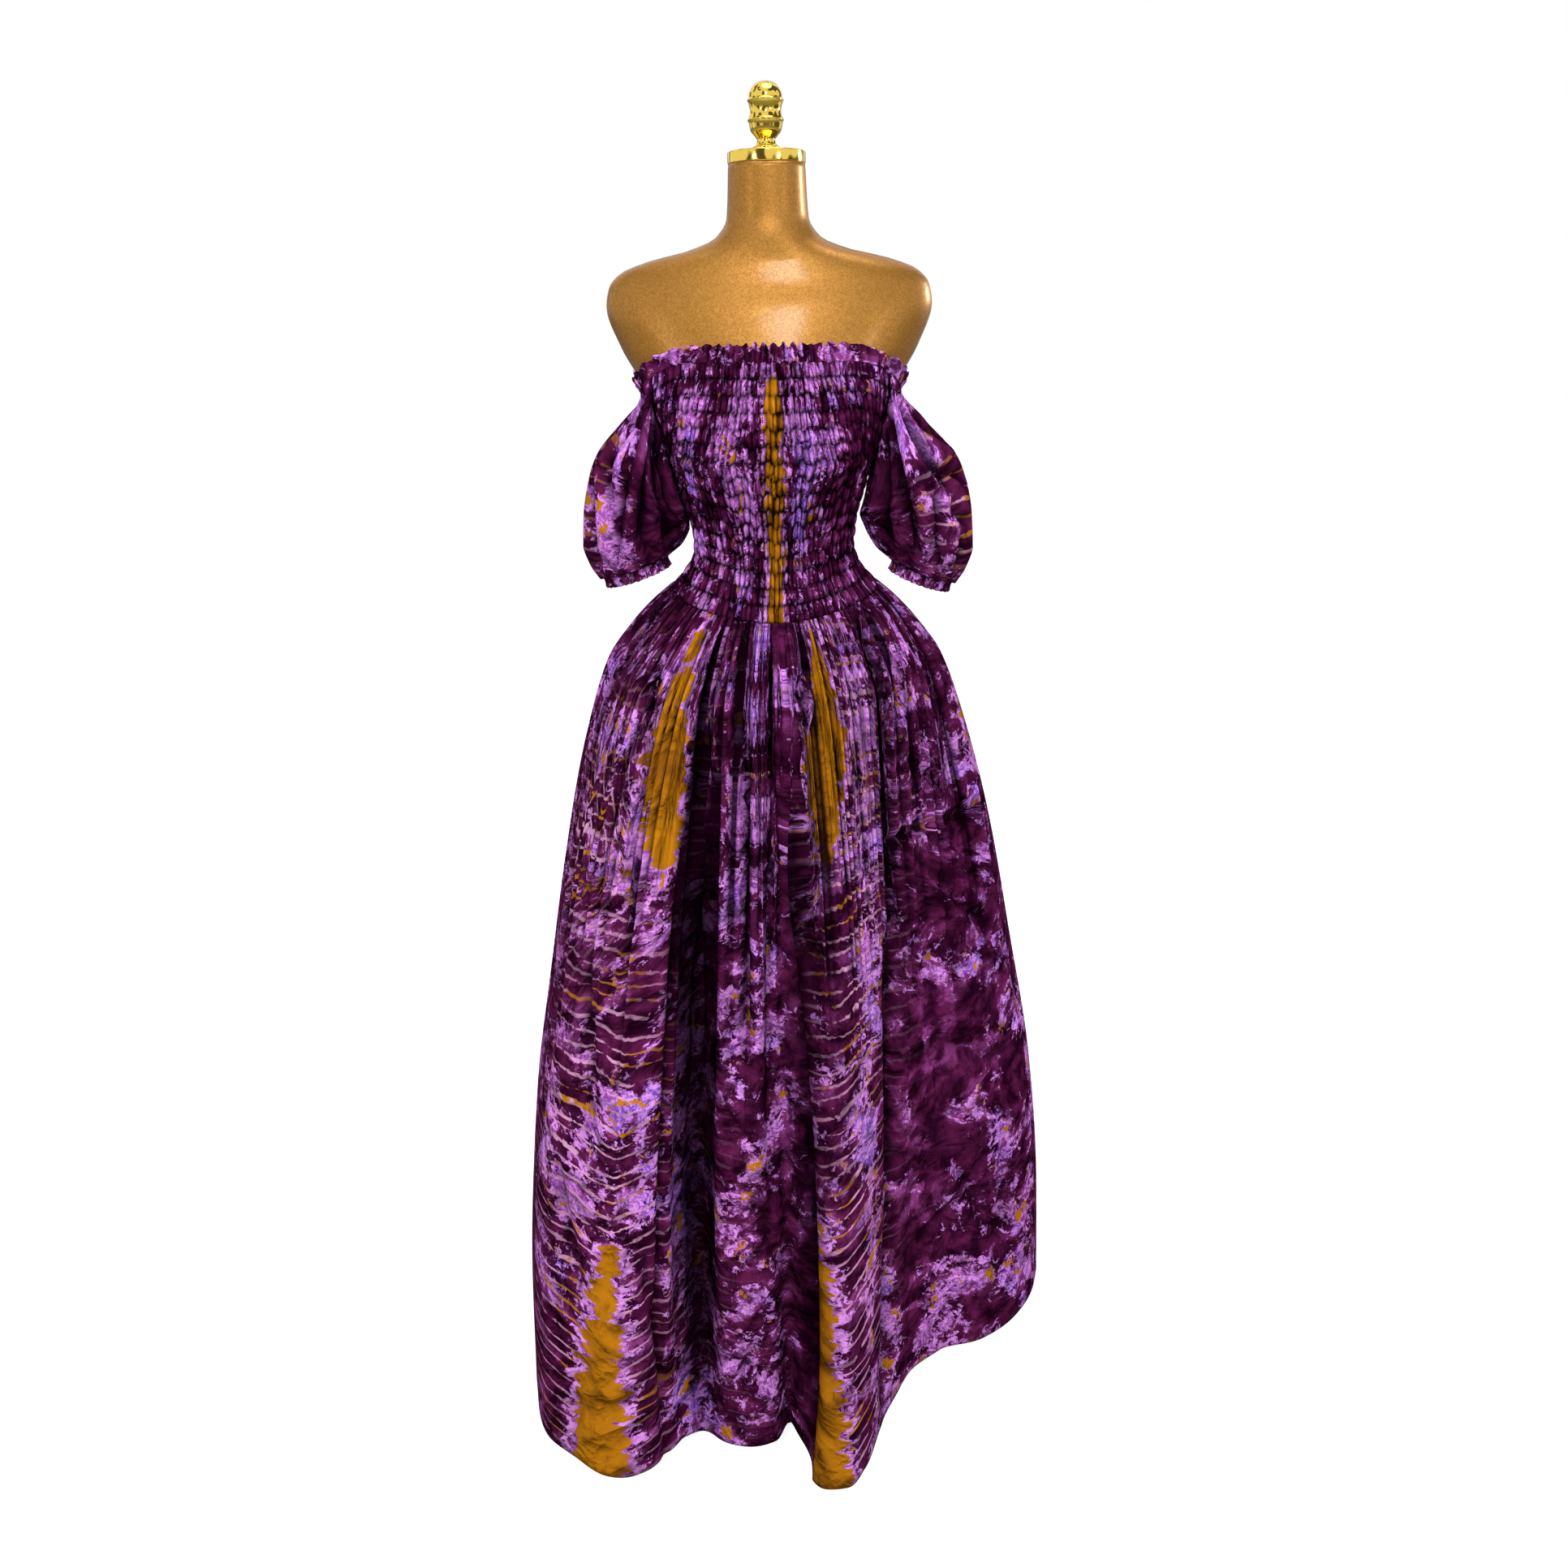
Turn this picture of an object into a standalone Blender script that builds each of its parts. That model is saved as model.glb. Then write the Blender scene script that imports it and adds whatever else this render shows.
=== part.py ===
"""Off-shoulder maxi dress with a shirred bodice, puff sleeves and a gathered skirt, on a limbless dress form.

Metres, +Z up. The origin is on the pole's axis at the base's underside, and the dress faces -Y.
Angles go round the axis from the front, positive towards +X.
"""

import math

import bmesh
import bpy
import numpy as np

# Heights above the floor
BASE_HEIGHT = 0.012
HUB_TOP = 0.040
FORM_BOTTOM = 0.960
WAIST_FRONT = 1.178
WAIST_SIDE = 1.205
UNDERARM = 1.372
NECKLINE_FRONT = 1.489
NECKLINE_SIDE = 1.444
FORM_TOP = 1.708
CAP_TOP = 1.722

# Stand
BASE_RADIUS = 0.160
HUB_RADIUS = 0.030
POLE_RADIUS = 0.0125
CAP_RADIUS = 0.046
ROUND_STEPS = 20

# Cloth
GAP = 0.0003
EASE = 0.0018
ARMHOLE_EASE = 0.0032
ARMHOLE_EASE_FROM = 1.345
ARMHOLE_EASE_TO = 1.400
WAIST_FLARE_FRONT = 0.010
WAIST_FLARE_SIDE = 0.022
WAIST_FLARE_TALL = 0.060
BODICE_WALL = 0.0019
RIB_RELIEF = 0.0030
SHIRRED_RELIEF = 0.0009
SKIRT_WALL = 0.0018
SLEEVE_WALL = 0.0015
SIDE_SEAM_SHARE = 0.0014
RIBS_PER_PANEL = 20
SHIRRING_ROWS = 16
LINING_COLUMNS = 18
LINING_ROWS = 12
GATHERS_PER_PANEL = 26
NECKLINE_WAVES = 36
SLEEVE_WAVES = 14

# Neckline and armhole
CASING_HEIGHT = 0.018
NECKLINE_FLAT_ANGLE = math.radians(50)
RAGLAN_TOP_ANGLE = math.radians(66)
ARMHOLE_ROUNDNESS = 0.6

# Form
FORM_COLUMNS = 36
BUST_ANGLE = 0.55
BUST_HEIGHT = 1.370
BUST_DEPTH = 0.014
BUST_UNDER_CLOTH = 0.011
BUST_WIDTH = 0.34
BUST_TALL = 0.050
FORM_SQUARENESS = 2.4

# Form: height, half width, front depth, back depth
FORM_SECTIONS = (
    (0.960, 0.148, 0.085, 0.104),
    (1.010, 0.158, 0.094, 0.116),
    (1.060, 0.156, 0.100, 0.115),
    (1.110, 0.144, 0.100, 0.102),
    (1.160, 0.125, 0.095, 0.086),
    (1.200, 0.108, 0.089, 0.074),
    (1.250, 0.0975, 0.083, 0.068),
    (1.283, 0.100, 0.085, 0.071),
    (1.330, 0.112, 0.092, 0.080),
    (1.370, 0.122, 0.097, 0.088),
    (1.410, 0.132, 0.097, 0.094),
    (1.459, 0.157, 0.091, 0.098),
    (1.505, 0.183, 0.080, 0.095),
    (1.551, 0.198, 0.068, 0.085),
    (1.573, 0.194, 0.061, 0.077),
    (1.589, 0.180, 0.057, 0.071),
    (1.603, 0.144, 0.054, 0.065),
    (1.614, 0.096, 0.053, 0.061),
    (1.628, 0.063, 0.052, 0.057),
    (1.650, 0.049, 0.049, 0.051),
    (1.708, 0.0455, 0.0455, 0.0455),
)
FORM_ROW_HEIGHTS = (
    *(0.960, 1.010, 1.060, 1.110, 1.160),
    *(1.190, 1.220, 1.250, 1.280, 1.310, 1.340, 1.370, 1.400, 1.430, 1.460),
    *(1.490, 1.520, 1.551, 1.573, 1.589, 1.603, 1.614, 1.628, 1.650, 1.708),
)

# Skirt: share of the drop, share of the spread, fold depth, half height of a gather
SKIRT_ROWS = (
    (0.000, 0.000, 0.00, 0.0022),
    (0.018, 0.085, 0.04, 0.0035),
    (0.045, 0.185, 0.10, 0.0050),
    (0.088, 0.310, 0.20, 0.0060),
    (0.177, 0.447, 0.40, 0.0055),
    (0.302, 0.595, 0.60, 0.0035),
    (0.470, 0.742, 0.74, 0.0015),
    (0.647, 0.882, 0.86, 0.0005),
    (0.823, 0.962, 0.95, 0.0000),
    (1.000, 1.000, 1.00, 0.0000),
)
HEM_HALF_WIDTH = 0.400
HEM_FRONT = 0.315
HEM_BACK = 0.360

# Hem: angle in degrees, radius, height
HEM_FOLDS = (
    (-168, 0.385, 0.045),
    (-155, 0.325, 0.050),
    (-140, 0.395, 0.045),
    (-126, 0.365, 0.055),
    (-111, 0.412, 0.062),
    (-95, 0.400, 0.058),
    (-80, 0.396, 0.048),
    (-66, 0.408, 0.042),
    (-54, 0.424, 0.042),
    (-46, 0.412, 0.041),
    (-40, 0.405, 0.040),
    (-36, 0.392, 0.040),
    (-32, 0.362, 0.042),
    (-29, 0.303, 0.046),
    (-22, 0.288, 0.046),
    (-12, 0.284, 0.045),
    (-4, 0.270, 0.045),
    (0, 0.246, 0.050),
    (4, 0.332, 0.042),
    (8, 0.344, 0.040),
    (13, 0.346, 0.040),
    (18, 0.328, 0.042),
    (26, 0.288, 0.048),
    (36, 0.258, 0.052),
    (47, 0.245, 0.056),
    (60, 0.262, 0.056),
    (70, 0.312, 0.050),
    (80, 0.358, 0.048),
    (90, 0.394, 0.048),
    (100, 0.414, 0.050),
    (114, 0.378, 0.055),
    (128, 0.400, 0.048),
    (143, 0.330, 0.050),
    (158, 0.380, 0.045),
    (174, 0.315, 0.050),
)

# Sleeve rings: outer side x and height, inner side x and height, half depth, share of the ring's own shape
SLEEVE_RINGS = (
    (0.163, 1.444, 0.126, 1.372, 0.070, 0.00),
    (0.170, 1.430, 0.125, 1.350, 0.082, 0.30),
    (0.194, 1.412, 0.121, 1.328, 0.089, 0.70),
    (0.228, 1.378, 0.116, 1.308, 0.092, 1.00),
    (0.245, 1.343, 0.112, 1.294, 0.091, 1.00),
    (0.254, 1.298, 0.117, 1.281, 0.085, 1.00),
    (0.256, 1.256, 0.126, 1.264, 0.074, 1.00),
    (0.248, 1.226, 0.137, 1.248, 0.060, 1.00),
    (0.236, 1.204, 0.150, 1.236, 0.047, 1.00),
)
# Half height of the sleeve's waves at each ring
SLEEVE_WAVE_DEPTHS = (0.0010, 0.0022, 0.0024, 0.0016, 0.0010, 0.0014, 0.0026, 0.0030, 0.0018)
# Sleeve sides: side, how full and how long against the table, how much nearer the body the cuff is
SLEEVE_SIDES = {"left": (-1, 0.88, 0.92, 0.016), "right": (1, 1.00, 1.00, 0.000)}
NECKLINE_X = SLEEVE_RINGS[0][0]
CUFF_DROP = UNDERARM - SLEEVE_RINGS[-1][3]
# How far out of the body's cloth a sleeve's outer face lies, at its seam and where it leans on the ribs
SEAM_SEAT = BODICE_WALL + SHIRRED_RELIEF + SLEEVE_WALL
RIB_SEAT = BODICE_WALL + RIB_RELIEF + SLEEVE_WALL + 2 * GAP
# Cuff rings: distance below the sleeve, share of the sleeve's last ring, half height of a wave
CUFF_RINGS = (
    (0.0019, 0.975, 0.0018),
    (0.0070, 0.86, 0.0012),
    (0.0150, 0.98, 0.0030),
)

# Neckline casing rows: height above the panels, distance out, half height of a wave
CASING_ROWS = (
    (0.0012, 0.0038, 0.0004),
    (0.0080, 0.0022, 0.0003),
    (CASING_HEIGHT, 0.0032, 0.0016),
)

# Finial profile: radius, height
FINIAL_PROFILE = (
    (0.0000, 1.7980),
    (0.0085, 1.7962),
    (0.0150, 1.7915),
    (0.0190, 1.7845),
    (0.0200, 1.7790),
    (0.0213, 1.7770),
    (0.0200, 1.7745),
    (0.0182, 1.7655),
    (0.0200, 1.7585),
    (0.0213, 1.7560),
    (0.0200, 1.7535),
    (0.0180, 1.7450),
    (0.0120, 1.7390),
    (0.0090, 1.7350),
    (0.0110, 1.7300),
    (0.0160, 1.7265),
    (0.0160, 1.7223),
    (0.0000, 1.7223),
)


def clear_scene():
    """Removes whatever the scene holds."""
    for thing in list(bpy.data.objects):
        bpy.data.objects.remove(thing, do_unlink=True)


def material(name, colour, roughness, metallic):
    """A Principled material with an RGBA colour."""
    made = bpy.data.materials.new(name)
    made.use_nodes = True
    shader = made.node_tree.nodes["Principled BSDF"]
    shader.inputs["Base Color"].default_value = (*colour, 1)
    shader.inputs["Roughness"].default_value = roughness
    shader.inputs["Metallic"].default_value = metallic
    return made


def add_object(name, mesh, look):
    """An object in the dress's collection, with its own copy of a material."""
    made = bpy.data.objects.new(name, mesh)
    own = look.copy()
    own.name = f"{look.name}_{name}"
    mesh.materials.append(own)
    bpy.data.collections["maxi_dress"].objects.link(made)
    return made


def smooth_curve(at, knots, values):
    """Values between the knots, on a cubic curve that doesn't overshoot them."""
    knots = np.asarray(knots, float)
    values = np.asarray(values, float)
    step = np.diff(knots)
    rise = np.diff(values) / step
    slope = np.concatenate([rise[:1], np.zeros(len(rise) - 1), rise[-1:]])
    before, after = rise[:-1], rise[1:]
    steady = before * after > 0
    slope[1:-1][steady] = (2 * before * after)[steady] / (before + after)[steady]
    index = np.clip(np.searchsorted(knots, at, side="right") - 1, 0, len(step) - 1)
    share = np.clip((at - knots[index]) / step[index], 0, 1)
    width = step[index]
    start = values[index] * (1 + 2 * share) + width * slope[index] * share
    end = values[index + 1] * (3 - 2 * share) - width * slope[index + 1] * (1 - share)
    return start * (1 - share) ** 2 + end * share**2


def ease_in_out(share):
    """Goes from 0 to 1 with level ends."""
    share = np.clip(share, 0, 1)
    return share * share * (3 - 2 * share)


def around(radius, angle, height):
    """Points at a radius and an angle from the front, stacked as x, y, z."""
    radius, angle, height = np.broadcast_arrays(radius, angle, height)
    return np.stack([radius * np.sin(angle), -radius * np.cos(angle), height], axis=-1)


def from_side(angle):
    """How far an angle is from the front or the back, whichever is nearer: 0 to 90 degrees."""
    return np.arcsin(np.clip(np.abs(np.sin(angle)), 0, 1))


def form_radius(angle, height, bust_depth=BUST_DEPTH):
    """The dress form's radius: a rounded section at each height, and the bust."""
    heights, half_width, front, back = np.array(FORM_SECTIONS).T
    wide = smooth_curve(height, heights, half_width)
    deep = np.where(
        np.cos(angle) > 0,
        smooth_curve(height, heights, front),
        smooth_curve(height, heights, back),
    )
    power = FORM_SQUARENESS
    section = np.abs(np.sin(angle) / wide) ** power + np.abs(np.cos(angle) / deep) ** power
    turned = np.arctan2(np.sin(angle), np.cos(angle))
    bust = np.exp(-(((np.abs(turned) - BUST_ANGLE) / BUST_WIDTH) ** 2))
    bust = bust * np.exp(-(((height - BUST_HEIGHT) / BUST_TALL) ** 2))
    return section ** (-1 / power) + bust_depth * bust


def waist_height(angle):
    """The waist seam dips at the front and the back."""
    return WAIST_FRONT + (WAIST_SIDE - WAIST_FRONT) * np.sin(angle) ** 2


def neckline_height(angle):
    """The neckline is level across the front and drops over the arm."""
    share = (from_side(angle) - NECKLINE_FLAT_ANGLE) / (math.pi / 2 - NECKLINE_FLAT_ANGLE)
    return NECKLINE_FRONT + (NECKLINE_SIDE - NECKLINE_FRONT) * ease_in_out(share)


def panel_half_angle(height):
    """Half the angle that a bodice panel covers: to the side seam, then to the armhole's edge."""
    top = neckline_height(RAGLAN_TOP_ANGLE)
    share = np.clip((height - UNDERARM) / (top - UNDERARM), 0, 1)
    cut = (math.pi / 2 - RAGLAN_TOP_ANGLE) * share**ARMHOLE_ROUNDNESS
    return (math.pi / 2 - cut) * (1 - SIDE_SEAM_SHARE)


def cloth_ease(angle, height):
    """How far the dress lies off the form: looser round the arms, and flared above the skirt's gathers."""
    share = (height - ARMHOLE_EASE_FROM) / (ARMHOLE_EASE_TO - ARMHOLE_EASE_FROM)
    flare = WAIST_FLARE_FRONT + (WAIST_FLARE_SIDE - WAIST_FLARE_FRONT) * np.sin(angle) ** 2
    rise = np.clip((height - waist_height(angle)) / WAIST_FLARE_TALL, 0, 1)
    return EASE + ARMHOLE_EASE * ease_in_out(share) + flare * (1 - rise) ** 2


def bodice_place(across, up):
    """Angle and height on a bodice panel: across runs from -1 to 1, up from 0 to 1."""
    angle = across * math.pi / 2
    for _ in range(6):
        bottom = waist_height(angle)
        height = bottom + up * (neckline_height(angle) - bottom)
        angle = across * panel_half_angle(height)
    return angle, height


def bodice_points(across, up, turn, out):
    """Points of a bodice panel at a distance out from the form. The panel is turned by an angle."""
    across, up = np.meshgrid(across, up)
    angle, height = bodice_place(across, up)
    return around(form_radius(angle + turn, height) + cloth_ease(angle, height) + out, angle + turn, height)


def grid_faces(rows, columns, closed, start=0):
    """Quads of a grid of points, with the last column joined to the first if it is closed."""
    last = columns if closed else columns - 1
    row, column = np.meshgrid(np.arange(rows - 1), np.arange(last), indexing="ij")
    beside = (column + 1) % columns
    corners = [row * columns + column, row * columns + beside]
    corners += [(row + 1) * columns + beside, (row + 1) * columns + column]
    return (np.stack(corners, axis=-1).reshape(-1, 4) + start).tolist()


def border(rows, columns, start=0):
    """Indices round the edge of an open grid."""
    index = np.arange(rows * columns).reshape(rows, columns) + start
    return [*index[0], *index[1:, -1], *index[-1, -2::-1], *index[-2:0:-1, 0]]


def border_shares(rows, columns):
    """How far round the edge of an open grid each border point is, with each side worth 1."""
    sides = [np.arange(columns - 1) / (columns - 1), np.arange(rows - 1) / (rows - 1)]
    return np.concatenate([sides[0], 1 + sides[1], 2 + sides[0], 3 + sides[1]])


def zip_borders(outer, outer_shares, inner, inner_shares):
    """Triangles between two closed borders with unlike numbers of points."""
    faces = []
    i = j = 0
    while i < len(outer) or j < len(inner):
        next_outer = outer_shares[i + 1] if i + 1 < len(outer) else 4
        next_inner = inner_shares[j + 1] if j + 1 < len(inner) else 4
        here, there = outer[i % len(outer)], inner[j % len(inner)]
        if j >= len(inner) or (i < len(outer) and next_outer <= next_inner):
            faces.append((outer[(i + 1) % len(outer)], here, there))
            i += 1
        else:
            faces.append((here, there, inner[(j + 1) % len(inner)]))
            j += 1
    return faces


def bodice_panel(name, turn, look):
    """A shirred panel: raised ribs between rows of elastic outside, and a plain inside."""
    columns, rows = 2 * RIBS_PER_PANEL + 1, 2 * SHIRRING_ROWS + 1
    rib = np.arange(columns) % 2
    puff = np.where(np.arange(rows) % 2, RIB_RELIEF, SHIRRED_RELIEF)
    relief = BODICE_WALL + puff[:, None] * (0.15 + 0.85 * rib[None, :])
    outer = bodice_points(
        np.linspace(-1, 1, columns), np.linspace(0, 1, rows), turn, relief
    )
    inner_columns, inner_rows = LINING_COLUMNS + 1, LINING_ROWS + 1
    inner = bodice_points(
        np.linspace(-1, 1, inner_columns), np.linspace(0, 1, inner_rows), turn, 0
    )
    points = np.concatenate([outer.reshape(-1, 3), inner.reshape(-1, 3)])
    faces = grid_faces(rows, columns, False)
    faces += [face[::-1] for face in grid_faces(inner_rows, inner_columns, False, rows * columns)]
    faces += zip_borders(
        border(rows, columns),
        border_shares(rows, columns),
        border(inner_rows, inner_columns, rows * columns),
        border_shares(inner_rows, inner_columns),
    )
    mesh = bpy.data.meshes.new(name)
    mesh.from_pydata(points.tolist(), [], faces)
    return add_object(name, mesh, look)


def cloth(name, points, closed, wall, look):
    """A wall of cloth: a surface through a grid of points, thickened inwards."""
    rows, columns = points.shape[:2]
    mesh = bpy.data.meshes.new(name)
    mesh.from_pydata(points.reshape(-1, 3).tolist(), [], grid_faces(rows, columns, closed))
    made = add_object(name, mesh, look)
    thick = made.modifiers.new("wall", "SOLIDIFY")
    thick.thickness = wall
    thick.offset = -1
    thick.use_quality_normals = True
    return made


def hem_curve(angle, column):
    """A column of the hem's table, at any angle."""
    table = np.array(HEM_FOLDS, float)
    turned = np.degrees(np.arctan2(np.sin(angle), np.cos(angle)))
    knots = np.concatenate([table[-2:, 0] - 360, table[:, 0], table[:2, 0] + 360])
    values = np.concatenate([table[-2:, column], table[:, column], table[:2, column]])
    return smooth_curve(turned, knots, values)


def skirt_panel(name, turn, look):
    """A gathered skirt panel, from the waist seam to the folds of the hem."""
    columns = 2 * GATHERS_PER_PANEL + 1
    angle = np.linspace(-1, 1, columns) * math.pi / 2 * (1 - SIDE_SEAM_SHARE) + turn
    drop, spread, fold, gather = np.array(SKIRT_ROWS).T[:, :, None]
    top = waist_height(angle) - GAP
    waist = form_radius(angle, top) + cloth_ease(angle, top) + SKIRT_WALL + SKIRT_ROWS[0][3]
    deep = np.where(np.cos(angle) > 0, HEM_FRONT, HEM_BACK)
    even = 1 / np.hypot(np.sin(angle) / HEM_HALF_WIDTH, np.cos(angle) / deep)
    wave = np.where(np.arange(columns) % 2, 1.0, -1.0)
    radius = waist + (even - waist) * spread + (hem_curve(angle, 1) - even) * fold
    radius = radius + wave * gather
    height = top + (hem_curve(angle, 2) - top) * drop
    return cloth(name, around(radius, angle, height)[::-1], False, SKIRT_WALL, look)


def armhole_loop(turns):
    """Angle and height round an armhole: along the neckline over the arm, then round the underarm."""
    sweep = np.where(turns < 0.5, 1 - 4 * turns, 4 * turns - 3)
    angle = math.pi / 2 - (math.pi / 2 - RAGLAN_TOP_ANGLE) * sweep
    rise = neckline_height(RAGLAN_TOP_ANGLE) - UNDERARM
    under = UNDERARM + rise * np.abs(sweep) ** (1 / ARMHOLE_ROUNDNESS)
    return angle, np.where(turns <= 0.5, neckline_height(angle), under)


def sleeve_ring(turns, ring, fuller, longer, nearer):
    """Points round one ring of a right sleeve, from the front over the outer side to the back and home."""
    outer_x, outer_z, inner_x, inner_z, half_depth, own = ring
    if own > 0:
        outer_z, inner_z = UNDERARM - (UNDERARM - np.array([outer_z, inner_z])) * longer
    outer_x = NECKLINE_X + (outer_x - NECKLINE_X) * fuller
    inner_x = inner_x - nearer * ease_in_out((UNDERARM - inner_z) / CUFF_DROP)
    swing = 2 * math.pi * turns
    middle_x, middle_z = (outer_x + inner_x) / 2, (outer_z + inner_z) / 2
    across_x, across_z = (outer_x - inner_x) / 2, (outer_z - inner_z) / 2
    x = middle_x + across_x * np.sin(swing)
    y = -half_depth * np.cos(swing)
    z = middle_z + across_z * np.sin(swing)
    own_shape = np.stack([x, y, z], axis=-1)
    angle, height = armhole_loop(turns)
    on_body = around(form_radius(angle, height) + cloth_ease(angle, height) + SEAM_SEAT, angle, height)
    return on_body * (1 - own) + own_shape * own


def clear_of_body(points, out):
    """Moves points that lie nearer the form than a distance, straight out from its axis."""
    x, y, z = np.moveaxis(points, -1, 0)
    radius = np.hypot(x, y)
    angle = np.arctan2(x, -y)
    least = form_radius(angle, z) + cloth_ease(angle, z) + out
    return around(np.maximum(radius, least), angle, z)


def sleeve_points(side):
    """The rings of a sleeve, pressed out where they meet the bodice."""
    _, *fit = SLEEVE_SIDES[side]
    turns = np.arange(2 * SLEEVE_WAVES) / (2 * SLEEVE_WAVES)
    wave = np.where(np.arange(2 * SLEEVE_WAVES) % 2, 1.0, -1.0)
    rings = []
    for ring, depth in zip(SLEEVE_RINGS, SLEEVE_WAVE_DEPTHS):
        points = sleeve_ring(turns, ring, *fit)
        outwards = points - points.mean(axis=0)
        outwards /= np.linalg.norm(outwards, axis=1, keepdims=True)
        points = points + outwards * (wave * depth)[:, None]
        rings.append(clear_of_body(points, RIB_SEAT if rings else SEAM_SEAT))
    return np.array(rings)


def mirrored(points, side):
    """The points for a side, with the rows turned round so that the faces still point out."""
    if SLEEVE_SIDES[side][0] > 0:
        return points
    return (points * (-1, 1, 1))[:, ::-1]


def build_sleeve(side, look):
    """A puff sleeve and its elastic cuff."""
    rings = sleeve_points(side)
    cloth(f"sleeve_{side}", mirrored(rings[::-1], side), True, SLEEVE_WALL, look)
    end = rings[-1]
    middle = end.mean(axis=0)
    down = np.cross(end[0] - middle, end[len(end) // 4] - middle)
    down *= -np.sign(down[2]) / np.linalg.norm(down)
    wave = np.where(np.arange(len(end)) % 2, 1.0, -1.0)[:, None]
    outwards = (end - middle) / np.linalg.norm(end - middle, axis=1, keepdims=True)
    cuff = []
    for along, share, depth in CUFF_RINGS:
        cuff.append(middle + (end - middle) * share + outwards * wave * depth + down * along)
    cloth(f"cuff_{side}", mirrored(np.array(cuff)[::-1], side), True, SLEEVE_WALL, look)


def neckline_casing(look):
    """The gathered casing round the top of the bodice and both sleeves."""
    columns = 2 * NECKLINE_WAVES
    angle = np.arange(columns) * math.tau / columns
    wave = np.where(np.arange(columns) % 2, 1.0, -1.0)
    rows = []
    for above, out, depth in CASING_ROWS:
        height = neckline_height(angle) + above
        radius = form_radius(angle, height) + cloth_ease(angle, height) + out + wave * depth
        rows.append(around(radius, angle, height))
    cloth("neckline_casing", np.array(rows), True, SKIRT_WALL, look)


def form_torso(look):
    """The torso with neck and shoulder caps, closed at the neck and at its flat bottom."""
    angle = np.arange(FORM_COLUMNS) * math.tau / FORM_COLUMNS
    heights = np.array(FORM_ROW_HEIGHTS)[:, None]
    points = around(form_radius(angle, heights, BUST_UNDER_CLOTH), angle, heights)
    faces = grid_faces(len(heights), FORM_COLUMNS, True)
    last = (len(heights) - 1) * FORM_COLUMNS
    faces.append(list(range(FORM_COLUMNS))[::-1])
    faces.append(list(range(last, last + FORM_COLUMNS)))
    mesh = bpy.data.meshes.new("form_torso")
    mesh.from_pydata(points.reshape(-1, 3).tolist(), [], faces)
    mesh.shade_smooth()
    add_object("form_torso", mesh, look)


def turned(name, profile, look):
    """A solid turned from a profile that runs down its outer side."""
    mesh = bpy.data.meshes.new(name)
    edges = [(i, i + 1) for i in range(len(profile) - 1)]
    mesh.from_pydata([(radius, 0, height) for radius, height in profile], edges, [])
    made = add_object(name, mesh, look)
    screw = made.modifiers.new("turn", "SCREW")
    screw.steps = ROUND_STEPS
    screw.render_steps = ROUND_STEPS
    screw.use_merge_vertices = True
    screw.merge_threshold = 0.00001
    screw.use_smooth_shade = True
    return made


def neck_cap(look):
    """The turned disc that closes the neck."""
    edge = 0.0015
    profile = (
        (0, CAP_TOP),
        (CAP_RADIUS - 2 * edge, CAP_TOP),
        (CAP_RADIUS, CAP_TOP - edge),
        (CAP_RADIUS, FORM_TOP + GAP + edge),
        (CAP_RADIUS - edge, FORM_TOP + GAP),
        (0, FORM_TOP + GAP),
    )
    turned("neck_cap", profile, look)


def stand(look):
    """The round base with its hub, and the pole that carries the form."""
    edge = 0.003
    profile = (
        (0, HUB_TOP),
        (HUB_RADIUS * 0.8, HUB_TOP),
        (HUB_RADIUS, HUB_TOP - edge),
        (HUB_RADIUS, BASE_HEIGHT + edge),
        (HUB_RADIUS * 1.4, BASE_HEIGHT),
        (BASE_RADIUS - edge, BASE_HEIGHT - edge),
        (BASE_RADIUS, BASE_HEIGHT - 2 * edge),
        (BASE_RADIUS, 0),
        (0, 0),
    )
    turned("base", profile, look)
    bottom, top = HUB_TOP + GAP, FORM_BOTTOM - GAP
    mesh = bpy.data.meshes.new("pole")
    shape = bmesh.new()
    bmesh.ops.create_cone(
        shape,
        cap_ends=True,
        segments=ROUND_STEPS,
        radius1=POLE_RADIUS,
        radius2=POLE_RADIUS,
        depth=top - bottom,
    )
    shape.to_mesh(mesh)
    shape.free()
    pole = add_object("pole", mesh, look)
    pole.location.z = (top + bottom) / 2


def main():
    """Builds the dress and the form."""
    clear_scene()
    collection = bpy.data.collections.new("maxi_dress")
    bpy.context.scene.collection.children.link(collection)
    cotton = material("dyed_cotton", (0.10, 0.016, 0.075), 0.45, 0.0)
    painted = material("gold_paint", (0.42, 0.20, 0.055), 0.28, 0.8)
    plated = material("gold_plate", (0.85, 0.62, 0.12), 0.10, 1.0)
    bodice_panel("bodice_front", 0, cotton)
    bodice_panel("bodice_back", math.pi, cotton)
    neckline_casing(cotton)
    for side in SLEEVE_SIDES:
        build_sleeve(side, cotton)
    skirt_panel("skirt_front", 0, cotton)
    skirt_panel("skirt_back", math.pi, cotton)
    form_torso(painted)
    neck_cap(plated)
    turned("finial", FINIAL_PROFILE, plated)
    stand(plated)


main()
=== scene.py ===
"""Looks of an off-shoulder maxi dress in resist-dyed polished cotton, on a gold dress form.

Metres, +Z up, in the frame's own axes: the dress faces -Y and the origin is on the pole's axis at the
base's underside. Angles go round that axis from the front, positive towards +X.
"""

import logging
import math
from dataclasses import dataclass
from enum import Enum

import bpy
import numpy as np
from mathutils import Matrix, Vector


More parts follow.
